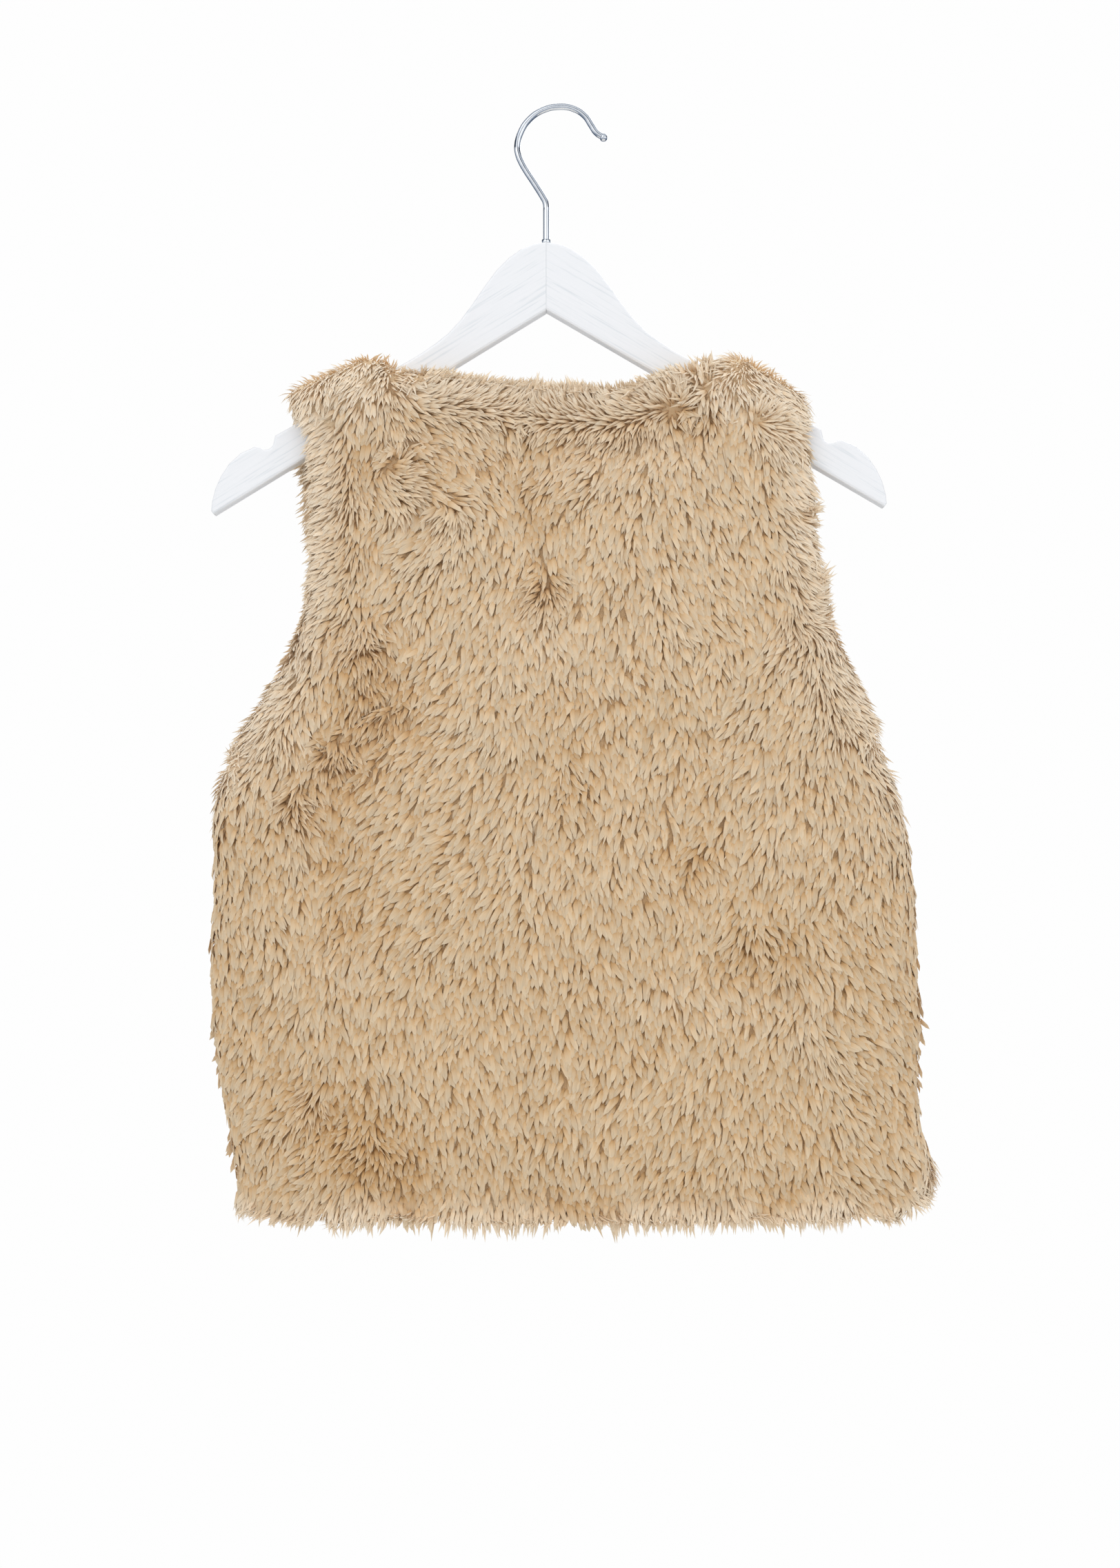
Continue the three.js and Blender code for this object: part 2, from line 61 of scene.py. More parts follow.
# %% Camera
PIXEL = 0.45 * MM
FRAME_HEIGHT = 2274 * PIXEL
CAMERA_DISTANCE = 1.3
AIM = Vector((0, 0, -0.440))
scene = bpy.context.scene


def add_object(name, data):
    """A new object in the scene."""
    thing = bpy.data.objects.new(name, data)
    scene.collection.objects.link(thing)
    return thing


camera_data = bpy.data.cameras.new("camera")
camera_data.sensor_width = 36
camera_data.lens = camera_data.sensor_width * CAMERA_DISTANCE / FRAME_HEIGHT
camera = add_object("camera", camera_data)
camera.location = AIM - Vector((0, CAMERA_DISTANCE, 0))
camera.rotation_euler = (math.pi / 2, 0, 0)
scene.camera = camera
print("lens in mm:", round(camera_data.lens, 1))


# %% Helpers for colours and nodes
def linear(code):
    """An sRGB hex colour as the linear colour that a shader works with."""
    channels = [int(code[i : i + 2], 16) / 255 for i in (1, 3, 5)]
    return (*[c / 12.92 if c <= 0.04045 else ((c + 0.055) / 1.055) ** 2.4 for c in channels], 1)


def set_inputs(node, inputs):
    """Gives sockets, by name or number, a value, an output to link or a node's first output."""
    for key, value in inputs.items():
        if isinstance(value, bpy.types.Node):
            value = value.outputs[0]
        if isinstance(value, bpy.types.NodeSocket):
            node.id_data.links.new(value, node.inputs[key])
        else:
            node.inputs[key].default_value = value


def add_node(tree, kind, inputs=None, **settings):
    """A new node with its settings and inputs."""
    node = tree.nodes.new(kind)
    for name, value in settings.items():
        setattr(node, name, value)
    set_inputs(node, inputs or {})
    return node


def ramp(tree, factor, stops):
    """A colour ramp from pairs of a place and a hex colour."""
    node = add_node(tree, "ShaderNodeValToRGB", {"Fac": factor})
    elements = node.color_ramp.elements
    elements.remove(elements[1])
    elements[0].position = stops[0][0]
    elements[0].color = linear(stops[0][1])
    for place, code in stops[1:]:
        elements.new(place).color = linear(code)
    return node


# %% [markdown]
# ## Walls that the wire can mirror
#
# White walls light the real gilet from all round, and the camera sees plain paper behind it. A
# chromed wire shows what is round it, so in an all-white room it would be white too. In a studio
# it mirrors the gap between the lamps and the dim room to its sides. So a Light Path node tells
# three kinds of ray apart: the camera's rays meet paper, mirrored rays meet walls with a dark
# band a little above the camera, and all other rays meet walls that are dimmer below. Walls
# painted on a great box would do the same, with more to build.

# %% World and lamps
PAPER_STRENGTH = 0.99
WALL_STRENGTH = 0.96
# Places in the ramps run from 0 straight below to 1 straight above, and from front to back.
WALL_COLOURS = [(0.1, "#b4b9c0"), (0.5, "#f3f5f8"), (0.8, "#ffffff")]
MIRRORED_HEIGHTS = [
    (0.0, "#8a94a3"), (0.28, "#a9b2bf"), (0.4, "#f4f6f9"), (0.638, "#ffffff"),
    (0.66, "#3f4c5b"), (0.74, "#4d5a6b"), (0.8, "#dfe4ea"), (1.0, "#ffffff"),
]
MIRRORED_DEPTHS = [
    (0.0, "#ffffff"), (0.45, "#e9edf2"), (0.62, "#6f7b8c"), (0.9, "#7d8998"), (1.0, "#c9d0d9"),
]
scene.view_settings.view_transform = "Standard"
world = bpy.data.worlds.new("studio")
world.use_nodes = True
scene.world = world
sky = world.node_tree
sky.nodes.clear()
rays = add_node(sky, "ShaderNodeLightPath")
paper = add_node(
    sky, "ShaderNodeBackground", {"Color": linear("#ffffff"), "Strength": PAPER_STRENGTH}
)
place = add_node(sky, "ShaderNodeTexCoord")
way = add_node(sky, "ShaderNodeSeparateXYZ", {0: place.outputs["Generated"]})
height = add_node(sky, "ShaderNodeMapRange", {"Value": way.outputs["Z"], 1: -1.0, 2: 1.0})
depth = add_node(sky, "ShaderNodeMapRange", {"Value": way.outputs["Y"], 1: -1.0, 2: 1.0})
dim_below = ramp(sky, height, WALL_COLOURS)
walls = add_node(sky, "ShaderNodeBackground", {"Color": dim_below, "Strength": WALL_STRENGTH})
by_height = ramp(sky, height, MIRRORED_HEIGHTS)
by_depth = ramp(sky, depth, MIRRORED_DEPTHS)
both = add_node(
    sky,
    "ShaderNodeMix",
    {"Factor": 1.0, 6: by_height, 7: by_depth},
    data_type="RGBA",
    blend_type="MULTIPLY",
)
mirrored = add_node(sky, "ShaderNodeBackground", {"Color": both.outputs[2], "Strength": 1.0})
lit = add_node(
    sky,
    "ShaderNodeMixShader",
    {0: rays.outputs["Is Glossy Ray"], 1: walls, 2: mirrored},
)
seen = add_node(sky, "ShaderNodeMixShader", {0: rays.outputs["Is Camera Ray"], 1: lit, 2: paper})
add_node(sky, "ShaderNodeOutputWorld", {"Surface": seen})


def add_softbox(name, place, aim, width, height, watts):
    """A rectangular soft light that faces a point."""
    data = bpy.data.lights.new(name, "AREA")
    data.shape = "RECTANGLE"
    data.size = width
    data.size_y = height
    data.energy = watts
    lamp = add_object(name, data)
    lamp.location = place
    lamp.rotation_euler = (Vector(aim) - Vector(place)).to_track_quat("-Z", "Y").to_euler()
    print(name, "watts:", watts)


add_softbox("key_softbox", (-1.1, -1.9, 1.1), AIM, 1.8, 1.8, 10)
add_softbox("fill_softbox", (1.5, -1.6, 0.3), AIM, 1.8, 1.8, 5)
add_softbox("back_softbox", (0.4, 2.0, 1.0), AIM, 1.6, 1.2, 14)

# %% [markdown]
# ## The floor
#
# The photograph shows no floor. Seen from above, the hanger would float in nothing, so a round
# painted floor lies far below. It is stage, not part of the gilet.

# %% Floor
FLOOR_Z = -1.75
FLOOR_RADIUS = 1.75
floor_mesh = bpy.data.meshes.new("floor")
floor_bm = bmesh.new()
bmesh.ops.create_circle(floor_bm, cap_ends=True, radius=FLOOR_RADIUS, segments=96)
bmesh.ops.translate(floor_bm, verts=floor_bm.verts, vec=(0, 0, FLOOR_Z))
floor_bm.to_mesh(floor_mesh)
floor_bm.free()
floor = add_object("floor", floor_mesh)
# Matt paint scatters all light, so the floor shows as an even pale disc.
floor_paint = bpy.data.materials.new("matt white floor paint")
floor_paint.use_nodes = True
floor_shader = floor_paint.node_tree.nodes["Principled BSDF"]
set_inputs(floor_shader, {"Base Color": linear("#f2f2f0"), "Roughness": 0.9})
floor_mesh.materials.append(floor_paint)
print("floor radius in metres:", FLOOR_RADIUS)

# %% [markdown]
# ## The body of the plush
#
# Plush is knitted, and its backing is a thin jersey that holds the roots of the pile. The pile
# stands so close that a hand feels one soft thick layer, and only the outer third of each lock
# can be told apart. So each panel has two parts. A thin-walled shell holds the jersey inside and
# the crowded roots outside. It could be modelled by hand, but the CAD wall already has the form,
# so it is a copy of that wall, made 3.4 mm thinner and drawn in at its free edges. The locks then
# grow on it, out to where the CAD wall's own face lies.

# %% Inner and outer faces of a wall
# The room is left for the locks above the face, and the pulls leave it beyond the free edges.
LOCK_ROOM = 3.4 * MM
EDGE_PULL = 9 * MM
HEM_PULL = 13 * MM
EDGE_REACH = 30 * MM
ARMHOLE_X = 120 * MM
UNDERARM_Z = -428 * MM
UNDERARM_REACH = 80 * MM
UNDERARM_PULL = 0.4
# At the sides the locks lie flat, so the shell is left fuller there.
SIDE_FULLER = 0.7
SEAM_HALF_GAP = 0.3 * MM
SEAM_REACH = 10 * MM
SIDE_SEAM = (-700 * MM, -430 * MM)
OUTER, INNER, SEAM = 0, 1, 2
CORE_INSET = 20 * MM
SLICE = 14 * MM
MERGE = 0.01 * MM
FLAT_ANGLE = 0.6
SKEW_ANGLE = 1.2
# A direction with more Z than this counts as upright.
UPRIGHT = 0.7


def extremes(along, across):
    """Functions that give the lowest and highest across of the points at a place along."""
    places = np.arange(along.min(), along.max() + SLICE, SLICE)
    slices = [across[np.abs(along - place) <= SLICE] for place in places]
    lows = np.array([n.min() if len(n) else np.nan for n in slices])
    highs = np.array([n.max() if len(n) else np.nan for n in slices])
    known = ~np.isnan(lows)
    return (
        lambda p: np.interp(p, places[known], lows[known]),
        lambda p: np.interp(p, places[known], highs[known]),
    )


def looks_inwards(points, centres, normals):
    """Which faces look towards the core of the garment, a flat sheet inside its outline."""
    left, right = extremes(points[:, 2], points[:, 0])
    bottom, top = extremes(points[:, 0], points[:, 2])
    x, z = centres[:, 0], centres[:, 2]
    core = centres.copy()
    core[:, 0] = np.clip(x, left(z) + CORE_INSET, right(z) - CORE_INSET)
    core[:, 1] = 0
    core[:, 2] = np.clip(z, bottom(x) + CORE_INSET, top(x) - CORE_INSET)
    return ((centres - core) * normals).sum(axis=1) < 0


# %% Sorted walls and free edges
def sorted_wall(node_name):
    """A merged copy of a CAD wall, whose faces know if they are inner, outer or in a seam."""
    bm = bmesh.new()
    bm.from_mesh(nodes[node_name].data)
    bmesh.ops.remove_doubles(bm, verts=bm.verts, dist=MERGE)
    bm.normal_update()
    points = np.array([v.co for v in bm.verts])
    centres = np.array([f.calc_center_median() for f in bm.faces])
    normals = np.array([f.normal for f in bm.faces])
    for face, inwards in zip(bm.faces, looks_inwards(points, centres, normals)):
        in_seam = all(abs(v.co.y) < SEAM_HALF_GAP for v in face.verts)
        face.material_index = SEAM if in_seam else INNER if inwards else OUTER
        face.smooth = True
    bmesh.ops.join_triangles(
        bm,
        faces=bm.faces,
        angle_face_threshold=FLAT_ANGLE,
        angle_shape_threshold=SKEW_ANGLE,
        cmp_materials=True,
    )
    return bm


def free_edge_points(bm):
    """Places where the inner face ends in the open, each with the way that leads into the cloth."""
    found = []
    for v in bm.verts:
        inner = [f for f in v.link_faces if f.material_index == INNER]
        rim = [e for e in v.link_edges if sum(f.material_index == INNER for f in e.link_faces) == 1]
        beside_seam = SIDE_SEAM[0] < v.co.z < SIDE_SEAM[1] and abs(v.co.y) < SEAM_REACH
        if len(rim) != 2 or beside_seam or abs(v.co.y) < SEAM_HALF_GAP * 3:
            continue
        tangent = (rim[0].other_vert(v).co - rim[1].other_vert(v).co).normalized()
        middle = sum((f.calc_center_median() for f in inner), Vector()) / len(inner)
        into = middle - v.co
        into -= tangent * into.dot(tangent)
        if into.length > 1e-6:
            found.append((v.co.copy(), into.normalized()))
    return found


def edge_pull(place, into):
    """How far the shell is drawn in at a free edge: most at the hem, least at the underarms."""
    if into.z > UPRIGHT:
        return HEM_PULL
    if abs(place.x) < ARMHOLE_X:
        return EDGE_PULL
    above = (place.z - UNDERARM_Z) / UNDERARM_REACH
    return EDGE_PULL * min(1.0, max(UNDERARM_PULL, above))


def search_tree(places):
    """A tree that finds the nearest of the places."""
    tree = kdtree.KDTree(len(places))
    for i, place in enumerate(places):
        tree.insert(place, i)
    tree.balance()
    return tree


# %% The shell of a panel
def face_direction(v, kind):
    """The mean direction of a vertex's faces of one kind."""
    return sum((f.normal * f.calc_area() for f in v.link_faces if f.material_index == kind), Vector())


def shrink_wall(bm, found):
    """Draws the wall in at its free edges, and lowers its outer face by the room for the locks."""
    edge = search_tree([place for place, _ in found])
    inner = [(v.co.copy(), -face_direction(v, INNER).normalized()) for v in bm.verts]
    inner = [pair for pair in inner if pair[1].length > 0.5]
    jersey = search_tree([place for place, _ in inner])
    moves = []
    for v in bm.verts:
        _, index, away = edge.find(v.co)
        share = max(0.0, 1 - away / EDGE_REACH)
        move = found[index][1] * (edge_pull(*found[index]) * share)
        outwards = inner[jersey.find(v.co)[1]][1]
        room = LOCK_ROOM * (1 - SIDE_FULLER * abs(outwards.x))
        face = face_direction(v, OUTER) + face_direction(v, INNER)
        if face.length > 0:
            move = move - outwards * (room * max(0.0, face.normalized().dot(outwards)))
        move.y *= min(1.0, abs(v.co.y) / SEAM_REACH)
        moves.append(move)
    for v, move in zip(bm.verts, moves):
        v.co += move
        if abs(v.co.y) < SEAM_HALF_GAP:
            v.co.y = 0


def evaluated_copy(obj, name):
    """The result of an object's modifiers as a plain mesh."""
    depsgraph = bpy.context.evaluated_depsgraph_get()
    mesh = bpy.data.meshes.new_from_object(obj.evaluated_get(depsgraph))
    mesh.name = name
    return mesh


def sharpen_seams(bm):
    """Keeps the seam's corners through the smoothing, so that two panels still meet."""
    crease = bm.edges.layers.float.new("crease_edge")
    for e in bm.edges:
        e[crease] = float(sum(f.material_index == SEAM for f in e.link_faces) == 1)


def make_shell(node_name):
    """The smoothed shell of a panel, and its free edges with the ways into the cloth."""
    bm = sorted_wall(node_name)
    found = free_edge_points(bm)
    shrink_wall(bm, found)
    sharpen_seams(bm)
    mesh = bpy.data.meshes.new(node_name + "_plush")
    bm.to_mesh(mesh)
    bm.free()
    shell = add_object(node_name + "_plush", mesh)
    smooth = shell.modifiers.new("smooth", "SUBSURF")
    smooth.levels = smooth.render_levels = 1
    shell.data = evaluated_copy(shell, shell.name)
    shell.modifiers.clear()
    print(shell.name, "faces:", len(shell.data.polygons), "free edge points:", len(found))
    return shell, [(place + into * edge_pull(place, into), into) for place, into in found]


PANELS = ("back", "front_left", "front_right")
shells, free_edges = {}, {}
for name in PANELS:
    shells[name], free_edges[name] = make_shell(name)

# %% [markdown]
# ## Which way the pile lies
#
# Pile on plush leans with the nap, which runs down the garment so that rain would run off. Wear
# and packing ruffle it: it parts along folds, turns in whorls, and at the turned edges it is
# combed out over them. Each of these is a small rule about direction. They are added up for each
# point of the shell and kept as attributes, which the pile then reads.

# %% Sweeps, partings and whorls
def as_rules(columns, panels):
    """Turns each panel's rows of numbers into rules with named columns."""
    names = columns.split()
    return {panel: [dict(zip(names, row)) for row in rows] for panel, rows in panels.items()}


def place_of(rule):
    """A rule's place in the plane of X and Z."""
    return Vector((rule["x"], rule["z"])) * MM


# Places and reaches are in mm. lean is in degrees from straight down, positive towards +X.
SWEEPS = as_rules(
    "x z reach lean",
    {
        "back": [
            (-70, -212, 30, 62), (12, -226, 26, -62), (-45, -246, 22, 40), (-104, -290, 24, -58),
            (-78, -304, 22, -28), (14, -288, 16, -22), (114, -264, 24, 20), (98, -322, 26, 34),
            (142, -342, 20, -28), (-84, -380, 28, -50), (-100, -440, 32, -64), (-100, -498, 32, -60),
            (-54, -430, 24, -42), (-50, -490, 26, -50), (-90, -548, 26, -28), (134, -392, 26, -40),
            (116, -448, 24, -30), (56, -506, 16, 30), (112, -512, 18, -30), (200, -560, 26, 42),
            (205, -622, 32, 50), (212, -684, 30, 42), (158, -662, 26, 22), (-185, -600, 26, -32),
            (-178, -650, 24, -46), (-164, -694, 24, -48), (62, -650, 26, -34), (214, -440, 30, 14),
            (-218, -520, 26, -14),
        ],
        "front_left": [
            (-96, -300, 34, -36), (-60, -420, 36, 30), (-150, -520, 40, -24), (-70, -640, 38, -38),
            (-190, -660, 34, 26),
        ],
        "front_right": [
            (86, -290, 34, 30), (140, -400, 36, -34), (60, -480, 34, 24), (190, -580, 36, 36),
            (80, -650, 38, -30),
        ],
    },
)
# A parting runs from its place to its end.
PARTINGS = as_rules(
    "x z end_x end_z reach strength",
    {
        "back": [
            (-138, -212, -134, -330, 16, 0.7), (-35, -209, 94, -206, 14, 0.6),
            (-15, -250, -11, -300, 14, 0.5), (-140, -480, -138, -535, 14, 0.5),
        ],
        "front_left": [(-138, -215, -140, -330, 16, 0.7), (-148, -420, -138, -540, 20, 0.8)],
        "front_right": [(132, -215, 136, -330, 16, 0.7), (140, -450, 130, -560, 20, 0.8)],
    },
)
# burst pushes the pile out of the middle, and turn pushes it round.
WHORLS = as_rules(
    "x z reach burst turn",
    {
        "back": [
            (-127, -350, 20, 1.2, 0.3), (-112, -392, 20, 1.1, -0.3), (-140, -420, 18, 1.1, 0.4),
            (-167, -453, 26, 0.9, 0.3), (-112, -236, 22, 0.4, 1.5), (-72, -262, 18, 0.3, -1.2),
            (-10, -313, 15, 0.9, 0.2), (8, -437, 14, 0.8, -0.3), (85, -486, 14, 0.9, 0.3),
            (126, -540, 18, 0.9, -0.3), (143, -552, 14, 0.8, 0.2), (-158, -642, 14, 1.0, 0.3),
            (-118, -672, 20, 0.9, -0.3), (127, -203, 14, 0.5, 0.7), (146, -214, 14, 0.4, -0.7),
            (102, -362, 12, 0.8, 0.3),
        ],
        "front_left": [
            (-112, -262, 24, 0.4, 1.3), (-160, -452, 24, 1.2, 0.4), (-84, -372, 16, 1.1, -0.3),
            (-110, -596, 18, 1.1, 0.3),
        ],
        "front_right": [
            (110, -246, 22, 0.5, -1.2), (92, -424, 18, 1.2, 0.4), (168, -500, 20, 1.1, -0.3),
            (120, -622, 18, 1.1, 0.3),
        ],
    },
)
# Hollows are where the pile lies pressed apart and its locks are shorter, so that more of their roots
# shows; the colour there is also moved towards the root colours, as painted shade.
HOLLOWS = as_rules(
    "x z reach depth",
    {
        "back": [
            (-122, -352, 26, 0.8), (-112, -394, 28, 1.0), (-138, -428, 22, 0.9), (-166, -452, 20, 0.5),
            (-141, -482, 16, 0.7), (-138, -524, 16, 0.6), (-134, -232, 18, 0.6), (-134, -285, 16, 0.5),
            (-90, -222, 26, 0.5), (-44, -232, 24, 0.5), (4, -222, 24, 0.6), (48, -214, 20, 0.6),
            (86, -208, 14, 0.7), (-14, -262, 18, 0.6), (-11, -312, 15, 1.0), (10, -400, 22, 0.3),
            (8, -440, 16, 0.6), (84, -484, 16, 0.7), (84, -430, 18, 0.3), (130, -545, 22, 0.6),
            (-150, -648, 26, 0.7), (-116, -676, 26, 1.0), (-12, -700, 22, 0.4), (88, -702, 22, 0.4),
            (160, -700, 26, 0.3), (145, -340, 18, 0.35),
        ],
        "front_left": [
            (-112, -262, 24, 0.6), (-150, -460, 28, 0.8), (-110, -596, 24, 0.8), (-70, -470, 20, 0.5),
        ],
        "front_right": [
            (110, -246, 24, 0.6), (140, -480, 26, 0.8), (92, -424, 20, 0.6), (120, -622, 24, 0.8),
        ],
    },
)
print("rules for the back:", len(SWEEPS["back"] + PARTINGS["back"] + WHORLS["back"]))

# %% Rules for the nap
LOCK_LENGTH = 15 * MM
BAND_REACH = 27 * MM
HEM_REACH = 15 * MM
WARP_SIZE = 26 * MM
WARP = 9 * MM
RUFFLE_SIZE = 20 * MM
RUFFLE_TURN = 0.3
CURL_SIZE = 9 * MM
CURL_TURN = 0.9
# Neighbours hide this much of a spread in the nap.
SPREAD_HIDDEN = 0.15
PATCH_SIZE = 14 * MM
PARTING_WIDTH = 4 * MM
CALM = 0.35
COMBED_OUT = 2.3
EDGE_STAND = 0.3
BARE_STAND = 0.4
# How much of a lock's length is lost at edges, in bare places and in hollows.
EDGE_SHORTER = 0.4
HEM_SHORTER = 0.1
BARE_SHORTER = 0.15
HOLLOW_SHORTER = 0.15
PATCH_SPREAD = 0.16
TOP_EDGE_GAIN = 1.3
DOWN = Vector((0, 0, -1))
# noise_vector draws its offsets from a seed, which would otherwise be the time of day.
NOISE_SEED = 5
noise.seed_set(NOISE_SEED)


def near(away, reach):
    """How much of a rule holds at a distance: all of it at 0, and little past the reach."""
    return math.exp(-((away / (reach * MM)) ** 2))


def swept_turn(here, sweeps):
    """The mean turn from straight down, in radians, of the sweeps near a place."""
    shares = [near((here - place_of(s)).length, s["reach"]) for s in sweeps]
    turn = sum(share * math.radians(s["lean"]) for share, s in zip(shares, sweeps))
    return turn / (sum(shares) + CALM)


def parting_push(here, parting):
    """The push away from a parting's line."""
    start = place_of(parting)
    along = Vector((parting["end_x"], parting["end_z"])) * MM - start
    share = min(1.0, max(0.0, (here - start).dot(along) / along.dot(along)))
    away = here - start - along * share
    push = parting["strength"] * near(away.length, parting["reach"])
    return away.normalized() * push * min(1.0, away.length / PARTING_WIDTH)


def whorl_push(here, whorl):
    """The push out of a whorl's middle and round it."""
    away = here - place_of(whorl)
    out = away.normalized()
    push = out * whorl["burst"] + Vector((-out.y, out.x)) * whorl["turn"]
    return push * near(away.length, whorl["reach"])


# %% The nap at a point
def nap_at(name, point, normal, into, away):
    """The nap's direction at a point, with its shares of edge, stand, hollow and lost length."""
    warp = noise.noise_vector(point / WARP_SIZE + Vector((9, 2, 5))) * WARP
    here = Vector((point.x + warp.x, point.z + warp.z))
    depths = [near((here - place_of(h)).length, h["reach"]) * h["depth"] for h in HOLLOWS[name]]
    hollow = min(1.0, sum(depths))
    ruffle = noise.noise(point / RUFFLE_SIZE + Vector((3, 7, 1))) * RUFFLE_TURN * 2
    curl = noise.noise(point / CURL_SIZE + Vector((5, 1, 8))) * CURL_TURN * 2
    turn = swept_turn(here, SWEEPS[name]) + ruffle + curl * hollow
    lie = Vector((math.sin(turn), -math.cos(turn)))
    for parting in PARTINGS[name]:
        lie += parting_push(here, parting)
    for whorl in WHORLS[name]:
        lie += whorl_push(here, whorl)
    nap = Vector((lie.x, 0, lie.y))
    at_hem = into.z > UPRIGHT
    reach = HEM_REACH if at_hem else BAND_REACH
    edge = max(0.0, 1 - away / reach)
    edge = edge * edge * (3 - 2 * edge)
    outwards = -into
    if outwards.z < UPRIGHT:
        outwards.z = min(0.0, outwards.z)
    facing_out = max(0.0, -normal.dot(into))
    inside = Vector((0, -math.copysign(1, point.y), 0))
    nap += (inside * max(0.0, facing_out * 3 - 2) + outwards * COMBED_OUT) * edge
    nap -= inside * max(0.0, normal.z)
    nap -= normal * nap.dot(normal)
    if nap.length < 1e-6:
        nap = DOWN
    stand = facing_out * min(1.0, edge * 3) * EDGE_STAND
    shorter = edge * (HEM_SHORTER if at_hem else EDGE_SHORTER)
    return nap.normalized(), edge, stand, hollow * (1 - edge), shorter


# %% Combing the shells
def spread_apart(mesh, naps):
    """How much the nap spreads apart at each point over a lock's length, from 0 to 1."""
    ends = np.array([e.vertices for e in mesh.edges])
    points = np.array([v.co for v in mesh.vertices])
    step = points[ends[:, 1]] - points[ends[:, 0]]
    change = naps[ends[:, 1]] - naps[ends[:, 0]]
    rate = (change * step).sum(axis=1) / (step * step).sum(axis=1)
    count = np.bincount(ends.ravel(), minlength=len(points))
    for _ in range(2):
        total = np.zeros(len(points))
        np.add.at(total, ends[:, 0], rate)
        np.add.at(total, ends[:, 1], rate)
        mean = total / count
        rate = (mean[ends[:, 0]] + mean[ends[:, 1]]) / 2
    return np.clip(mean * 2 * LOCK_LENGTH - SPREAD_HIDDEN, 0, 1)


def store(mesh, attribute, values):
    """Keeps a number or a vector for each point of a mesh as a named attribute."""
    kind, key = ("FLOAT_VECTOR", "vector") if values.ndim == 2 else ("FLOAT", "value")
    layer = mesh.attributes.new(attribute, kind, "POINT")
    layer.data.foreach_set(key, values.astype(np.float32).ravel())


def comb(name):
    """Works out the nap on a panel's shell."""
    mesh = shells[name].data
    edge_list = free_edges[name]
    tree = search_tree([place for place, _ in edge_list])
    rows = []
    for v in mesh.vertices:
        _, index, away = tree.find(v.co)
        rows.append(nap_at(name, v.co, v.normal, edge_list[index][1], away))
    naps, edges, stands, hollows, shorter = (np.array(column) for column in zip(*rows))
    bare = spread_apart(mesh, naps)
    patches = np.array([noise.noise(v.co / PATCH_SIZE) for v in mesh.vertices])
    top_edge = np.clip(np.array([v.normal.z for v in mesh.vertices]) * TOP_EDGE_GAIN, 0, 1)
    edges = np.maximum(edges, top_edge)
    shorter = np.maximum(shorter, top_edge * EDGE_SHORTER)
    lengths = 1 + PATCH_SPREAD * patches - BARE_SHORTER * bare - shorter - HOLLOW_SHORTER * hollows
    store(mesh, "nap", naps)
    store(mesh, "pile_length", lengths)
    store(mesh, "stand", np.maximum(stands, bare * BARE_STAND))
    store(mesh, "edge", edges)
    store(mesh, "hollow", hollows)
    store(mesh, "fine", np.maximum(edges, bare))
    store(mesh, "body", 1 - edges)
    print(name, "combed:", len(rows), "points")


for name in PANELS:
    comb(name)

# %% [markdown]
# ## Materials of the cloth
#
# The pile is modacrylic fibre: soft and matt. Its colour is painted palest at each lock's tip, as
# painted light where the light scatters most, and dark at the root, as painted shade where the
# neighbours shade it. Combed over an edge the fibres lie parallel, which gives that part a stronger
# sheen, and its colours are painted lighter there as well, as painted light. A picture of fur could be
# laid on the cloth instead, but it would not follow the locks. Each lock's own coordinates run across
# and along it, so fine lines along its length stand for the fibres, which are too thin to be shapes.

# %% Materials of the cloth
# Along each lock the root colours are painted shade and the tip colour is painted light.
ROOT = "#a0713f"
SHADED = "#cba270"
BODY = "#dfc39e"
TIP = "#e8d5b8"
# The edge colours paint the combed edges lighter, as painted light, and still darker towards each
# wisp's root, as painted shade; the factor after them sets how far the edges take them.
EDGE_ROOT = "#e0b98a"
EDGE_BODY = "#f6dfc0"
EDGE_TIP = "#fff4e2"
EDGE_PAINTED_LIGHT = 0.97
# Painted shade: how far the colour in hollows moves towards the root colours.
HOLLOW_PAINTED_SHADE = 0.3
# A real fibre is 0.03 mm thick and would not show, so nine coarse ones go round a lock.
FIBRE_SCALE = (9, 1.6, 1)
SHADES = {3: 0.9, 4: 1.06}


def new_material(name, finish):
    """A material whose Principled shader has a finish: the material, its tree and the shader."""
    material = bpy.data.materials.new(name)
    material.use_nodes = True
    tree = material.node_tree
    tree.nodes.clear()
    shader = add_node(tree, "ShaderNodeBsdfPrincipled", finish)
    add_node(tree, "ShaderNodeOutputMaterial", {"Surface": shader})
    return material, tree, shader


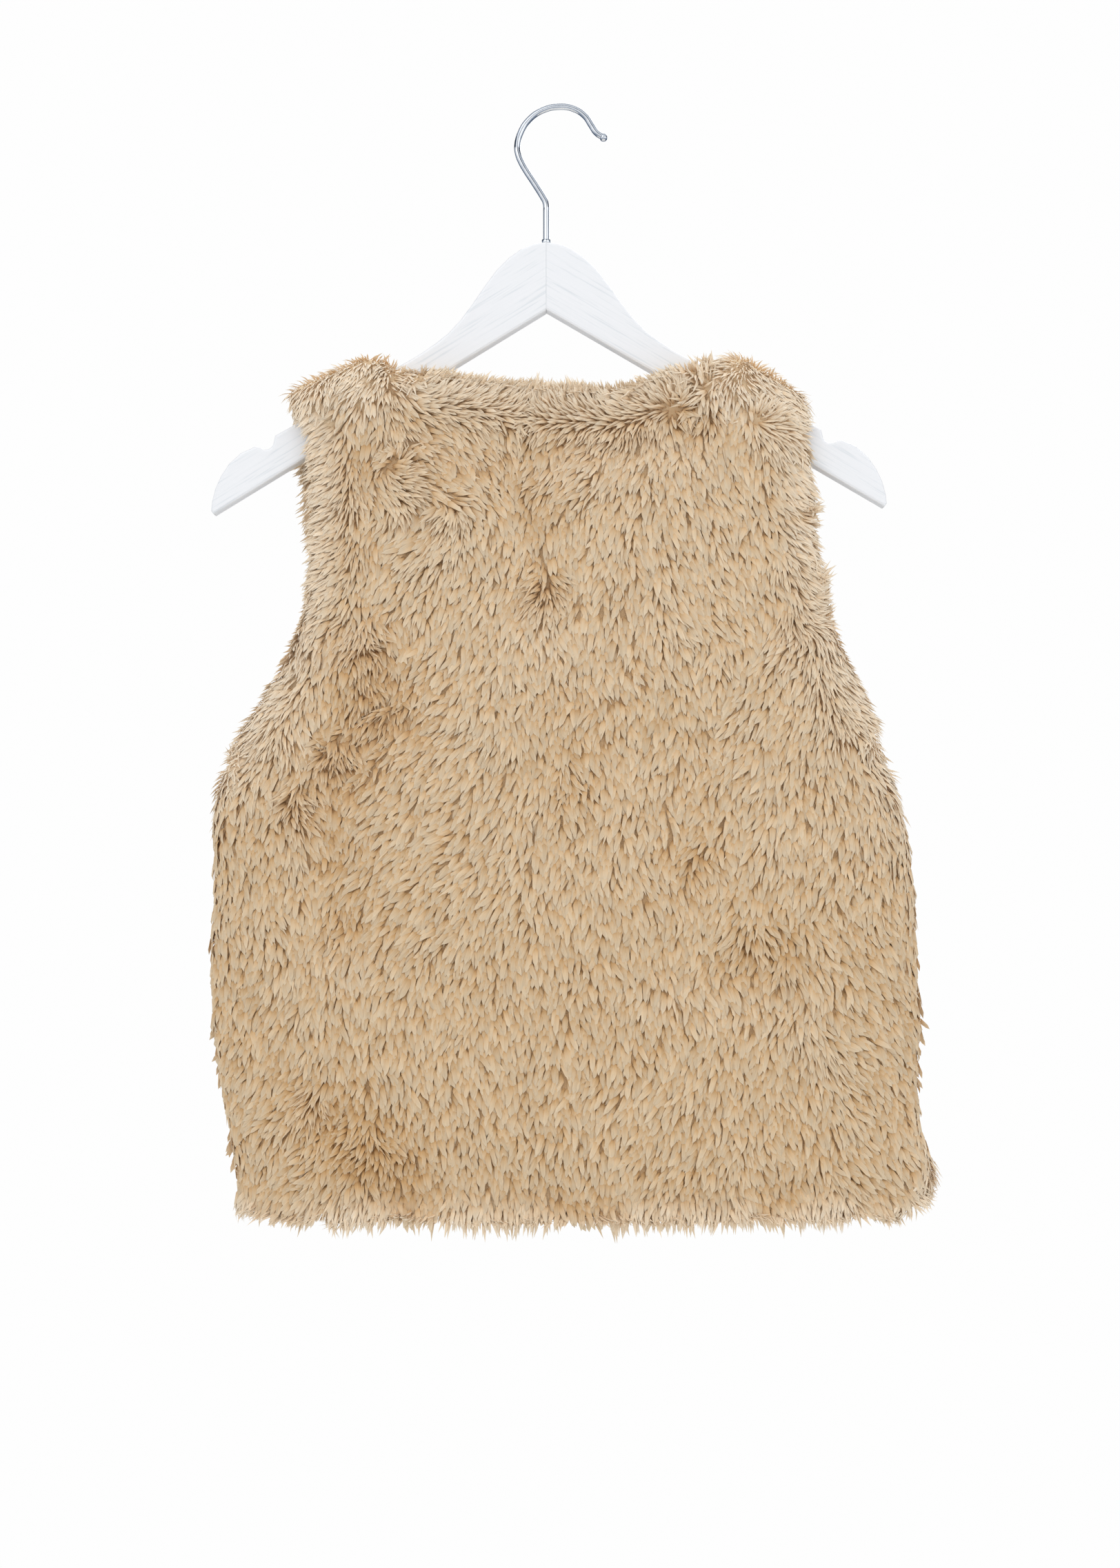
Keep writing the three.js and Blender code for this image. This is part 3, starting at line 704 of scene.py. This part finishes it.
def make_pile_material(name, sheen):
    """Modacrylic long pile: matt, with a soft sheen, its colour painted darker towards each lock's
    root as painted shade and lighter at the tip as painted light.
    """
    finish = {"Roughness": 0.75, "Specular IOR Level": 0.2, "Sheen Weight": sheen}
    finish |= {"Sheen Roughness": 0.45, "Sheen Tint": linear("#fff3e0")}
    material, tree, shader = new_material(name, finish)
    place = add_node(tree, "ShaderNodeUVMap", uv_map="lock")
    along = add_node(tree, "ShaderNodeSeparateXYZ", {0: place})
    tint, edge, hollow = [
        add_node(tree, "ShaderNodeAttribute", attribute_name=a) for a in ("tint", "edge", "hollow")
    ]
    fibres_at = add_node(tree, "ShaderNodeMapping", {"Vector": place, "Scale": FIBRE_SCALE})
    shifted = add_node(
        tree,
        "ShaderNodeVectorMath",
        {0: tint.outputs["Vector"], 1: (37, 11, 5), 2: fibres_at},
        operation="MULTIPLY_ADD",
    )
    fibres = add_node(tree, "ShaderNodeTexNoise", {"Vector": shifted, "Scale": 1.0, "Detail": 2.0})
    # Painted shade in hollows: the place along the lock moves towards its root colours.
    shaded_along = add_node(
        tree,
        "ShaderNodeMath",
        {0: hollow.outputs["Fac"], 1: -HOLLOW_PAINTED_SHADE, 2: along.outputs["Y"]},
        operation="MULTIPLY_ADD",
    )
    # Painted shade towards each lock's root and painted light at its tip.
    lock_colours = ramp(tree, shaded_along, [(0.0, ROOT), (0.3, SHADED), (0.62, BODY), (1.0, TIP)])
    edge_colours = ramp(
        tree, along.outputs["Y"], [(0.0, EDGE_ROOT), (0.4, EDGE_BODY), (1.0, EDGE_TIP)]
    )
    # Painted light: the combed edges take the lighter edge colours.
    painted_edge_light = add_node(
        tree, "ShaderNodeMath", {0: edge.outputs["Fac"], 1: EDGE_PAINTED_LIGHT}, operation="MULTIPLY"
    )
    colours = add_node(
        tree,
        "ShaderNodeMix",
        {"Factor": painted_edge_light, 6: lock_colours, 7: edge_colours},
        data_type="RGBA",
    )
    fibre_shade = add_node(
        tree,
        "ShaderNodeMapRange",
        {"Value": fibres.outputs["Fac"], 1: 0.3, 2: 0.7, **SHADES},
    )
    lock_shade = add_node(
        tree, "ShaderNodeMapRange", {"Value": tint.outputs["Fac"], 1: 0, 2: 1, **SHADES}
    )
    shade = add_node(tree, "ShaderNodeMath", {0: fibre_shade, 1: lock_shade}, operation="MULTIPLY")
    colour = add_node(
        tree,
        "ShaderNodeVectorMath",
        {0: colours.outputs[2], "Scale": shade},
        operation="SCALE",
    )
    bump = add_node(
        tree,
        "ShaderNodeBump",
        {"Height": fibres.outputs["Fac"], "Distance": 0.25 * MM, "Strength": 0.6},
    )
    set_inputs(shader, {"Base Color": colour, "Normal": bump})
    return material


# %% Knitted cloth
def make_knit_material(name, low, high, at_edge):
    """Polyester jersey: dull, with fine wales of loops that are 0.9 mm wide and 0.7 mm tall."""
    wale = 0.9 * MM
    course = 0.7 * MM
    material, tree, shader = new_material(name, {"Roughness": 0.9, "Sheen Weight": 0.2})
    place = add_node(tree, "ShaderNodeTexCoord")
    loops = add_node(
        tree,
        "ShaderNodeMapping",
        {"Vector": place.outputs["Object"], "Scale": (1 / wale, 0.3 / wale, 1 / course)},
    )
    knit = add_node(
        tree,
        "ShaderNodeTexVoronoi",
        {"Vector": loops, "Scale": 1.0, "Randomness": 0.35},
    )
    blotch = add_node(
        tree,
        "ShaderNodeTexNoise",
        {"Vector": place.outputs["Object"], "Scale": 1 / (12 * MM), "Detail": 3.0},
    )
    mixed = add_node(
        tree,
        "ShaderNodeMath",
        {0: knit.outputs["Distance"], 1: blotch.outputs["Fac"]},
        operation="MULTIPLY",
    )
    ground = ramp(tree, mixed, [(0.05, high), (0.45, low)])
    edge = add_node(tree, "ShaderNodeAttribute", attribute_name="edge")
    colours = add_node(
        tree,
        "ShaderNodeMix",
        {"Factor": edge.outputs["Fac"], 6: ground, 7: linear(at_edge)},
        data_type="RGBA",
    )
    bump = add_node(
        tree, "ShaderNodeBump", {"Height": knit.outputs["Distance"], "Distance": 0.3 * MM}
    )
    bump.invert = True
    set_inputs(shader, {"Base Color": colours.outputs[2], "Normal": bump})
    return material


# %% The four cloths
pile_material = make_pile_material("modacrylic long pile, camel", 0.2)
combed_material = make_pile_material("modacrylic long pile, combed over the edges", 0.8)
# The crowded roots are painted darker than the locks, as painted shade under them, and less so at the
# combed edges.
root_shade_material = make_knit_material("crowded roots of the pile", "#ad875d", "#cfab80", "#f0dab6")
jersey_material = make_knit_material("knitted polyester backing", "#b09472", "#cdb598", "#d8c2a2")
for cloth in (pile_material, combed_material, root_shade_material, jersey_material):
    print(cloth.name, "nodes:", len(cloth.node_tree.nodes))

# %% [markdown]
# ## Locks of pile
#
# Under a lens the pile clings together in locks about 4 mm wide and 15 mm long, which rise from the
# backing, bend over with the nap and end in a soft point. Combed over an edge it parts into finer and
# longer wisps. Hair curves would need millions of points, so each lock is a bent leaf with three sides
# and only 16 triangles, and a wisp has 10. Its normals are set one by one, rounder than its faces, so
# that it shades like a soft bundle. A dozen shapes of each that differ in bend keep it from looking
# repeated.

# %% Lock shapes
LOCK_SHAPES = 12
SIDE_SHINE = 0.5
ROOT_DEPTH = 1.4 * MM
# Each ring is a place along the lock and the share of its full girth there.
LOCK = {
    "length": LOCK_LENGTH,
    "width": 4.2 * MM,
    "thickness": 1.8 * MM,
    "rise": 3.4 * MM,
    "bend": 2.4 * MM,
    "rings": [(0.0, 0.6), (0.42, 1.0), (0.82, 0.75)],
}
WISP = {
    "length": 19 * MM,
    "width": 2.6 * MM,
    "thickness": 0.9 * MM,
    "rise": 2.0 * MM,
    "bend": 2.2 * MM,
    "rings": [(0.0, 0.8), (0.6, 1.0)],
}


def lock_mesh(name, size, rng):
    """One bent lock that rises along Z and leans towards X."""
    side_bend = rng.uniform(-1, 1) * size["bend"]
    side_wave = rng.uniform(-0.8, 0.8) * MM
    length = size["length"] * rng.uniform(0.88, 1.12)
    rise = size["rise"] * rng.uniform(0.8, 1.2)
    droop = rng.uniform(0.55, 0.95)

    def middle(t):
        """The middle line, from the root at 0 to the tip at 1."""
        across = side_bend * t * t + side_wave * math.sin(t * math.pi * 1.5)
        up = rise * (1 - (1 - t) ** 2) * (1 - droop * t**3) - ROOT_DEPTH * (1 - t) ** 2
        return Vector((length * t**1.15 * 0.94, across, up))

    bm = bmesh.new()
    uv = bm.loops.layers.uv.new("lock")
    rings = []
    shine = {}
    normals = []
    for t, girth in size["rings"]:
        ahead = (middle(t + 0.02) - middle(t)).normalized()
        flat = Vector((0, 1, 0)) - ahead * ahead.y
        flat.normalize()
        up = ahead.cross(flat)
        if up.z < 0:
            up.negate()
        ring = []
        for k in range(3):
            angle = math.tau * (k / 3 + 0.25)
            side, lift = math.cos(angle), math.sin(angle)
            offset = flat * (side * size["width"] / 2) + up * (lift * size["thickness"] / 2)
            ring.append(bm.verts.new(middle(t) + offset * girth))
            shine[ring[-1]] = (flat * (side * SIDE_SHINE) + up + ahead * 0.2).normalized()
        rings.append((t, ring))
    tip = bm.verts.new(middle(1.0))
    shine[tip] = (up + ahead * 0.4).normalized()

    def add_face(corners, is_top=True):
        face = bm.faces.new([c[0] for c in corners])
        face.normal_update()
        for loop, (v, across, along) in zip(face.loops, corners):
            loop[uv].uv = (across, along)
            normals.append(shine[v] if is_top else face.normal.copy())

    def add_side(k, low, high, t0, t1):
        n = (k + 1) % 3
        a = k / 3
        b = (k + 1) / 3
        corners = [(low[k], a, t0), (low[n], b, t0)]
        if high is None:
            corners.append((tip, (a + b) / 2, t1))
        else:
            corners += [(high[n], b, t1), (high[k], a, t1)]
        add_face(corners, is_top=k != 1)

    for (t0, low), (t1, high) in zip(rings, rings[1:] + [(1.0, None)]):
        for k in range(3):
            add_side(k, low, high, t0, t1)
    add_face([(v, 0, 0) for v in reversed(rings[0][1])], is_top=False)
    mesh = bpy.data.meshes.new(name)
    bm.to_mesh(mesh)
    bm.free()
    mesh.normals_split_custom_set(normals)
    return mesh


# %% A dozen locks and a dozen wisps
def triangle_count(mesh):
    """How many triangles a mesh has once its faces are split."""
    return sum(len(p.vertices) - 2 for p in mesh.polygons)


def lock_collection(kind, size):
    """A dozen locks of one kind that differ in length and bend."""
    shapes = bpy.data.collections.new(kind + "_shapes")
    rng = np.random.default_rng(4)
    for number in range(LOCK_SHAPES):
        name = f"{kind}_{number}"
        shapes.objects.link(bpy.data.objects.new(name, lock_mesh(name, size, rng)))
    return shapes


lock_shapes = lock_collection("lock", LOCK)
wisp_shapes = lock_collection("wisp", WISP)

# %% [markdown]
# ## Growing the pile
#
# One node tree plants the locks: it scatters roots at an even distance, turns each lock so that
# it rises along the shell's normal and leans with the nap, and varies turn, lean and size a
# little. A particle system could do this too, but a tree shows each step and runs the same way
# each time. It ends in real geometry, so each piece is a plain mesh afterwards.

# %% Sizes of the planting, and small helpers
# Angles in radians. TRIED_ROOTS is how many roots are tried on a square of the spacing's size.
STAND_UP = 1.1
LEAN_SPREAD = 0.1
ROLL_SPREAD = 0.2
SIZE_SPREAD = (0.8, 1.18)
TRIED_ROOTS = 2.6
# Each input's name, kind and value where none is given. Sizes are in metres.
PILE_INPUTS = [
    ("Shell", "Geometry", None),
    ("Locks", "Collection", None),
    ("Spacing", "Float", 3 * MM),
    ("Cover", "String", "body"),
    ("Lowest", "Float", -1.0),
    ("Highest", "Float", 1.0),
    ("Size", "Vector", (1.0, 1.0, 1.0)),
    ("Turn", "Float", 0.3),
    ("Seed", "Int", 1),
    ("Fibre", "Material", None),
]


def random_value(tree, low, high, seed, kind="FLOAT"):
    """A random number for each point, between low and high."""
    first, result = {"FLOAT": (2, 1), "INT": (4, 2)}[kind]
    limits = {first: low, first + 1: high, "Seed": seed}
    return add_node(tree, "FunctionNodeRandomValue", limits, data_type=kind).outputs[result]


def named(tree, attribute, kind="FLOAT"):
    """A named attribute of the point."""
    return add_node(
        tree, "GeometryNodeInputNamedAttribute", {"Name": attribute}, data_type=kind
    ).outputs[0]


# %% The tree that plants the locks
def make_pile_tree():
    """Plants locks on the outer faces of a shell, between two heights."""
    tree = bpy.data.node_groups.new("pile", "GeometryNodeTree")
    for name, kind, value in PILE_INPUTS:
        socket = tree.interface.new_socket(name, in_out="INPUT", socket_type="NodeSocket" + kind)
        if value is not None:
            socket.default_value = value
    tree.interface.new_socket("Pile", in_out="OUTPUT", socket_type="NodeSocketGeometry")
    given = add_node(tree, "NodeGroupInput").outputs

    place = add_node(tree, "GeometryNodeInputPosition")
    height = add_node(tree, "ShaderNodeSeparateXYZ", {0: place}).outputs["Z"]
    above = add_node(
        tree, "FunctionNodeCompare", {0: height, 1: given["Lowest"]}, operation="GREATER_THAN"
    )
    below = add_node(
        tree, "FunctionNodeCompare", {0: height, 1: given["Highest"]}, operation="LESS_EQUAL"
    )
    in_band = add_node(tree, "FunctionNodeBooleanMath", {0: above, 1: below})
    kind = add_node(tree, "GeometryNodeInputMaterialIndex").outputs[0]
    outer = add_node(
        tree, "FunctionNodeCompare", {2: kind, 3: OUTER}, data_type="INT", operation="EQUAL"
    )
    own_area = add_node(
        tree, "ShaderNodeMath", {0: given["Spacing"], 1: given["Spacing"]}, operation="MULTIPLY"
    )
    tried = add_node(tree, "ShaderNodeMath", {0: TRIED_ROOTS, 1: own_area}, operation="DIVIDE")
    roots = add_node(
        tree,
        "GeometryNodeDistributePointsOnFaces",
        {
            "Mesh": given["Shell"],
            "Selection": outer,
            "Distance Min": given["Spacing"],
            "Density Max": tried,
            "Density Factor": named(tree, given["Cover"]),
            "Seed": given["Seed"],
        },
        distribute_method="POISSON",
    )
    band = add_node(
        tree,
        "GeometryNodeSeparateGeometry",
        {"Geometry": roots.outputs["Points"], "Selection": in_band},
    )
    kept = add_node(
        tree,
        "GeometryNodeStoreNamedAttribute",
        {"Geometry": band, "Name": "up", "Value": roots.outputs["Normal"]},
        data_type="FLOAT_VECTOR",
        domain="POINT",
    )
    facing = add_node(
        tree,
        "FunctionNodeAxesToRotation",
        {
            "Primary Axis": named(tree, "up", "FLOAT_VECTOR"),
            "Secondary Axis": named(tree, "nap", "FLOAT_VECTOR"),
        },
        primary_axis="Z",
        secondary_axis="X",
    )
    other_way = add_node(tree, "ShaderNodeMath", {0: given["Turn"], 1: -1.0}, operation="MULTIPLY")
    raised = add_node(
        tree,
        "ShaderNodeMath",
        {0: named(tree, "stand"), 1: -STAND_UP, 2: random_value(tree, -LEAN_SPREAD, LEAN_SPREAD, 5)},
        operation="MULTIPLY_ADD",
    )
    wobble = add_node(
        tree,
        "ShaderNodeCombineXYZ",
        {
            "X": random_value(tree, -ROLL_SPREAD, ROLL_SPREAD, 7),
            "Y": raised,
            "Z": random_value(tree, other_way.outputs[0], given["Turn"], 3),
        },
    )
    turned = add_node(
        tree,
        "FunctionNodeRotateRotation",
        {"Rotation": facing, "Rotate By": wobble},
        rotation_space="LOCAL",
    )
    size = add_node(
        tree,
        "ShaderNodeMath",
        {0: named(tree, "pile_length"), 1: random_value(tree, *SIZE_SPREAD, 11)},
        operation="MULTIPLY",
    )
    full_size = add_node(
        tree,
        "ShaderNodeVectorMath",
        {0: given["Size"], "Scale": size},
        operation="SCALE",
    )
    shapes = add_node(
        tree,
        "GeometryNodeCollectionInfo",
        {"Collection": given["Locks"], "Separate Children": True, "Reset Children": True},
    )
    planted = add_node(
        tree,
        "GeometryNodeInstanceOnPoints",
        {
            "Points": kept,
            "Instance": shapes,
            "Pick Instance": True,
            "Instance Index": random_value(tree, 0, LOCK_SHAPES - 1, 13, "INT"),
            "Rotation": turned,
            "Scale": full_size,
        },
    )
    tinted = add_node(
        tree,
        "GeometryNodeStoreNamedAttribute",
        {"Geometry": planted, "Name": "tint", "Value": random_value(tree, 0.0, 1.0, 17)},
        data_type="FLOAT",
        domain="INSTANCE",
    )
    real = add_node(tree, "GeometryNodeRealizeInstances", {0: tinted})
    finished = add_node(
        tree,
        "GeometryNodeSetMaterial",
        {"Geometry": real, "Material": given["Fibre"]},
    )
    add_node(tree, "NodeGroupOutput", {0: finished})
    return tree


pile_tree = make_pile_tree()
print("nodes in the pile tree:", len(pile_tree.nodes))


# %% Growing a piece
def grow(piece_name, base_mesh, tree, **inputs):
    """Runs a node tree on a mesh, and keeps the result as a plain piece."""
    piece = add_object(piece_name, base_mesh)
    grower = piece.modifiers.new("grow", "NODES")
    grower.node_group = tree
    sockets = {s.name: s.identifier for s in tree.interface.items_tree if s.in_out == "INPUT"}
    for key, value in inputs.items():
        grower[sockets[key]] = value
    piece.data = evaluated_copy(piece, piece_name)
    piece.modifiers.clear()
    print(piece_name, "triangles:", triangle_count(piece.data))
    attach(piece, "root")
    return piece


# %% The pile of each panel
# Bands of height keep each piece well under 200,000 triangles.
BANDS = {
    "back": [(-1.0, -0.565), (-0.565, -0.385), (-0.385, 0.0)],
    "front_left": [(-1.0, -0.45), (-0.45, 0.0)],
    "front_right": [(-1.0, -0.45), (-0.45, 0.0)],
}
SPACING = {"back": 2.5 * MM, "front_left": 2.9 * MM, "front_right": 2.9 * MM}
WISP_SPACING = 1.25 * MM
WISP_TURN = 0.18
pile = {name: [] for name in PANELS}
for name, bands in BANDS.items():
    for number, (lowest, highest) in enumerate(bands):
        piece = grow(
            f"{name}_pile_{number + 1}",
            shells[name].data,
            pile_tree,
            Locks=lock_shapes,
            Spacing=SPACING[name],
            Lowest=lowest,
            Highest=highest,
            Seed=3,
            Fibre=pile_material,
        )
        pile[name].append(piece)
    fringe = grow(
        f"{name}_edge_pile",
        shells[name].data,
        pile_tree,
        Locks=wisp_shapes,
        Spacing=WISP_SPACING,
        Cover="fine",
        Turn=WISP_TURN,
        Seed=8,
        Fibre=combed_material,
    )
    pile[name].append(fringe)

# %% [markdown]
# ## What the cut of the cloth is
#
# Each panel was cut flat. The size of the rectangle it was cut from and its real area are listed for
# each, but this script does not use them.

# %% Cloth facts
CUTS = {
    "back": {"flat": (0.50, 0.575), "area": 0.235},
    "front_left": {"flat": (0.26, 0.575), "area": 0.105},
    "front_right": {"flat": (0.26, 0.575), "area": 0.105},
}
for name, cut in CUTS.items():
    shell = shells[name]
    for material in (root_shade_material, jersey_material, jersey_material):
        shell.data.materials.append(material)
    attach(shell, "root")
    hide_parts(name)

# %% [markdown]
# ## The hanger
#
# The arms are flat beech boards, sawn to shape, sanded round at the edges and painted white thin
# enough for the grain to show as faint lines along each arm. The CAD boards have that form
# already, so they stay, and only get their paint. The grain is noise that is drawn out along the
# arm: its cells are 42 mm long and 1.6 mm wide.

# %% Painted wood
ARM_SLOPE = math.atan(0.597)
HANGER_TILT = math.radians(0.65)
HANGER_PIVOT = Vector((-9, 0, -98)) * MM
GRAIN_CELL = (42 * MM, 6 * MM, 1.6 * MM)


def make_wood_material(name, side):
    """Beech under thin satin paint: cool white, with faint greyer lines and a soft gloss."""
    material, tree, shader = new_material(name, {"Roughness": 0.42, "Coat Weight": 0.15})
    place = add_node(tree, "ShaderNodeTexCoord")
    turn = side * ARM_SLOPE - HANGER_TILT
    centred = add_node(
        tree,
        "ShaderNodeVectorMath",
        {0: place.outputs["Object"], 1: tuple(HANGER_PIVOT)},
        operation="SUBTRACT",
    )
    along_arm = add_node(
        tree,
        "ShaderNodeVectorRotate",
        {"Vector": centred, "Axis": (0, 1, 0), "Angle": -turn},
    )
    grain_at = add_node(
        tree,
        "ShaderNodeMapping",
        {"Vector": along_arm, "Scale": [1 / size for size in GRAIN_CELL]},
    )
    grain = add_node(
        tree,
        "ShaderNodeTexNoise",
        {"Vector": grain_at, "Scale": 1.0, "Detail": 3.0, "Distortion": 0.35},
    )
    colours = ramp(
        tree,
        grain.outputs["Fac"],
        [(0.0, "#d6dade"), (0.34, "#e6e9ec"), (0.44, "#f1f2f4"), (1.0, "#f6f6f8")],
    )
    bump = add_node(
        tree,
        "ShaderNodeBump",
        {"Height": grain.outputs["Fac"], "Distance": 0.25 * MM, "Strength": 0.35},
    )
    set_inputs(shader, {"Base Color": colours, "Normal": bump})
    return material


for name, side in {"hanger_arm_left": -1, "hanger_arm_right": 1}.items():
    board = nodes[name]
    wood = make_wood_material(f"white-painted beech, {name.split('_')[-1]} arm", side)
    board.data.materials.clear()
    board.data.materials.append(wood)
    print(name, "is painted:", wood.name)

# %% [markdown]
# ## The glued joint
#
# The two arms meet in a mitre, which was glued and then painted over. The CAD leaves 0.3 mm
# between them, and light would shine through it. A thin slab fills the gap, as glue and paint do,
# and the seam still shows as a fine grey line.

# %% The glued joint
# Sizes are in mm.
JOINT = {"x": (-9.12, -8.88), "y": (-5.94, 5.94), "z": (-131.6, -87.9)}
joint_mesh = bpy.data.meshes.new("painted_joint")
joint_bm = bmesh.new()
bmesh.ops.create_cube(joint_bm, size=1)
for v in joint_bm.verts:
    v.co = Vector([JOINT[axis][int(v.co[i] > 0)] for i, axis in enumerate("xyz")]) * MM
joint_bm.to_mesh(joint_mesh)
joint_bm.free()
joint = add_object("painted_joint", joint_mesh)
# Paint that sank into the joint is a little greyer and duller than on the boards.
finish = {"Base Color": linear("#e9ecef"), "Roughness": 0.5}
joint_paint, _, _ = new_material("white paint over the glued joint", finish)
joint_mesh.materials.append(joint_paint)
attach(joint, "root")
print("joint width in mm:", round(JOINT["x"][1] - JOINT["x"][0], 2))

# %% [markdown]
# ## The hook
#
# The hook is steel wire of 4 mm, bent round a former, with a ball at its end and a collar where it
# enters the arms. Then it was plated with chromium. The CAD hook is faceted, and a mirror shows
# each facet, so a curve with a round bevel is swept along the same route instead. Its points are
# those of the CAD hook: a neck, an arc with a radius of 28 mm and a lip.

# %% Chrome
def make_chrome_material():
    """Chromium plate: a bright, slightly blue mirror, with handling marks about 3 mm apart."""
    material, tree, shader = new_material("chromium-plated steel wire", {"Metallic": 1.0})
    place = add_node(tree, "ShaderNodeTexCoord")
    marks = add_node(
        tree,
        "ShaderNodeTexNoise",
        {"Vector": place.outputs["Object"], "Scale": 1 / (3 * MM), "Detail": 2.0},
    )
    colours = ramp(tree, marks.outputs["Fac"], [(0.3, "#d3d7dd"), (0.7, "#e3e6ea")])
    rough = add_node(
        tree, "ShaderNodeMapRange", {"Value": marks.outputs["Fac"], 1: 0.3, 2: 0.7, 3: 0.1, 4: 0.18}
    )
    set_inputs(shader, {"Base Color": colours, "Roughness": rough})
    return material


chrome = make_chrome_material()
print("chrome nodes:", len(chrome.node_tree.nodes))

# %% The hook
# Sizes are in mm, and the arc's places in degrees.
WIRE_RADIUS = 2
LOOP_RADIUS = 28
BALL_RADIUS = 2.6
COLLAR = {"radius": 2.9, "height": 2.4, "z": -86.0, "rounding": 0.45}
HOOK_NECK = [
    (-9, -107.9), (-9, -85), (-9, -66), (-9, -63), (-9.6, -60), (-11, -57.4), (-17, -47.8),
    (-22, -40.2), (-25.3, -34.4), (-27.2, -29.6),
]
HOOK_ARC = [176, 156, 136, 114, 90, 72]
HOOK_LIP = [(16.2, -4.2), (20.6, -10.6), (23.6, -15), (28.4, -18.2)]


def swept_wire(route):
    """A round wire along a smooth curve through the points, as a mesh."""
    curve = bpy.data.curves.new("wire_route", "CURVE")
    curve.dimensions = "3D"
    curve.resolution_u = 8
    curve.bevel_depth = WIRE_RADIUS * MM
    curve.bevel_resolution = 6
    curve.use_fill_caps = True
    spline = curve.splines.new("BEZIER")
    spline.bezier_points.add(len(route) - 1)
    for point, (x, z) in zip(spline.bezier_points, route):
        point.co = Vector((x, 0, z)) * MM
        point.handle_left_type = point.handle_right_type = "AUTO"
    guide = add_object("wire_route", curve)
    mesh = evaluated_copy(guide, "wire")
    bpy.data.objects.remove(guide)
    bpy.data.curves.remove(curve)
    return mesh


def make_hook():
    """The bent wire, the ball at its end and the collar on the arms."""
    loop = [(LOOP_RADIUS, math.radians(degrees)) for degrees in HOOK_ARC]
    arc = [(r * math.cos(a), WIRE_RADIUS - r + r * math.sin(a)) for r, a in loop]
    mesh = swept_wire([*HOOK_NECK, *arc, *HOOK_LIP])
    bm = bmesh.new()
    bm.from_mesh(mesh)
    tip = Vector((HOOK_LIP[-1][0], 0, HOOK_LIP[-1][1])) * MM
    ball = bmesh.ops.create_uvsphere(bm, u_segments=32, v_segments=16, radius=BALL_RADIUS * MM)
    bmesh.ops.translate(bm, verts=ball["verts"], vec=tip)
    collar = bmesh.ops.create_cone(
        bm,
        cap_ends=True,
        segments=48,
        radius1=COLLAR["radius"] * MM,
        radius2=COLLAR["radius"] * MM,
        depth=COLLAR["height"] * MM,
    )
    seat = Vector((HOOK_NECK[0][0], 0, COLLAR["z"])) * MM
    bmesh.ops.translate(bm, verts=collar["verts"], vec=seat)
    of_collar = set(collar["verts"])
    rims = [e for e in bm.edges if of_collar >= set(e.verts) and e.calc_face_angle() > 1]
    rounding = COLLAR["rounding"] * MM
    bmesh.ops.bevel(bm, geom=rims, offset=rounding, segments=4, profile=0.5, affect="EDGES")
    bm.to_mesh(mesh)
    bm.free()
    mesh.name = "hook_wire"
    mesh.shade_smooth()
    mesh.set_sharp_from_angle(angle=math.radians(50))
    mesh.materials.clear()
    mesh.materials.append(chrome)
    return add_object("hook_wire", mesh)


hook = make_hook()
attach(hook, "root")
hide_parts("hook")
print("triangles of the hook:", triangle_count(hook.data))
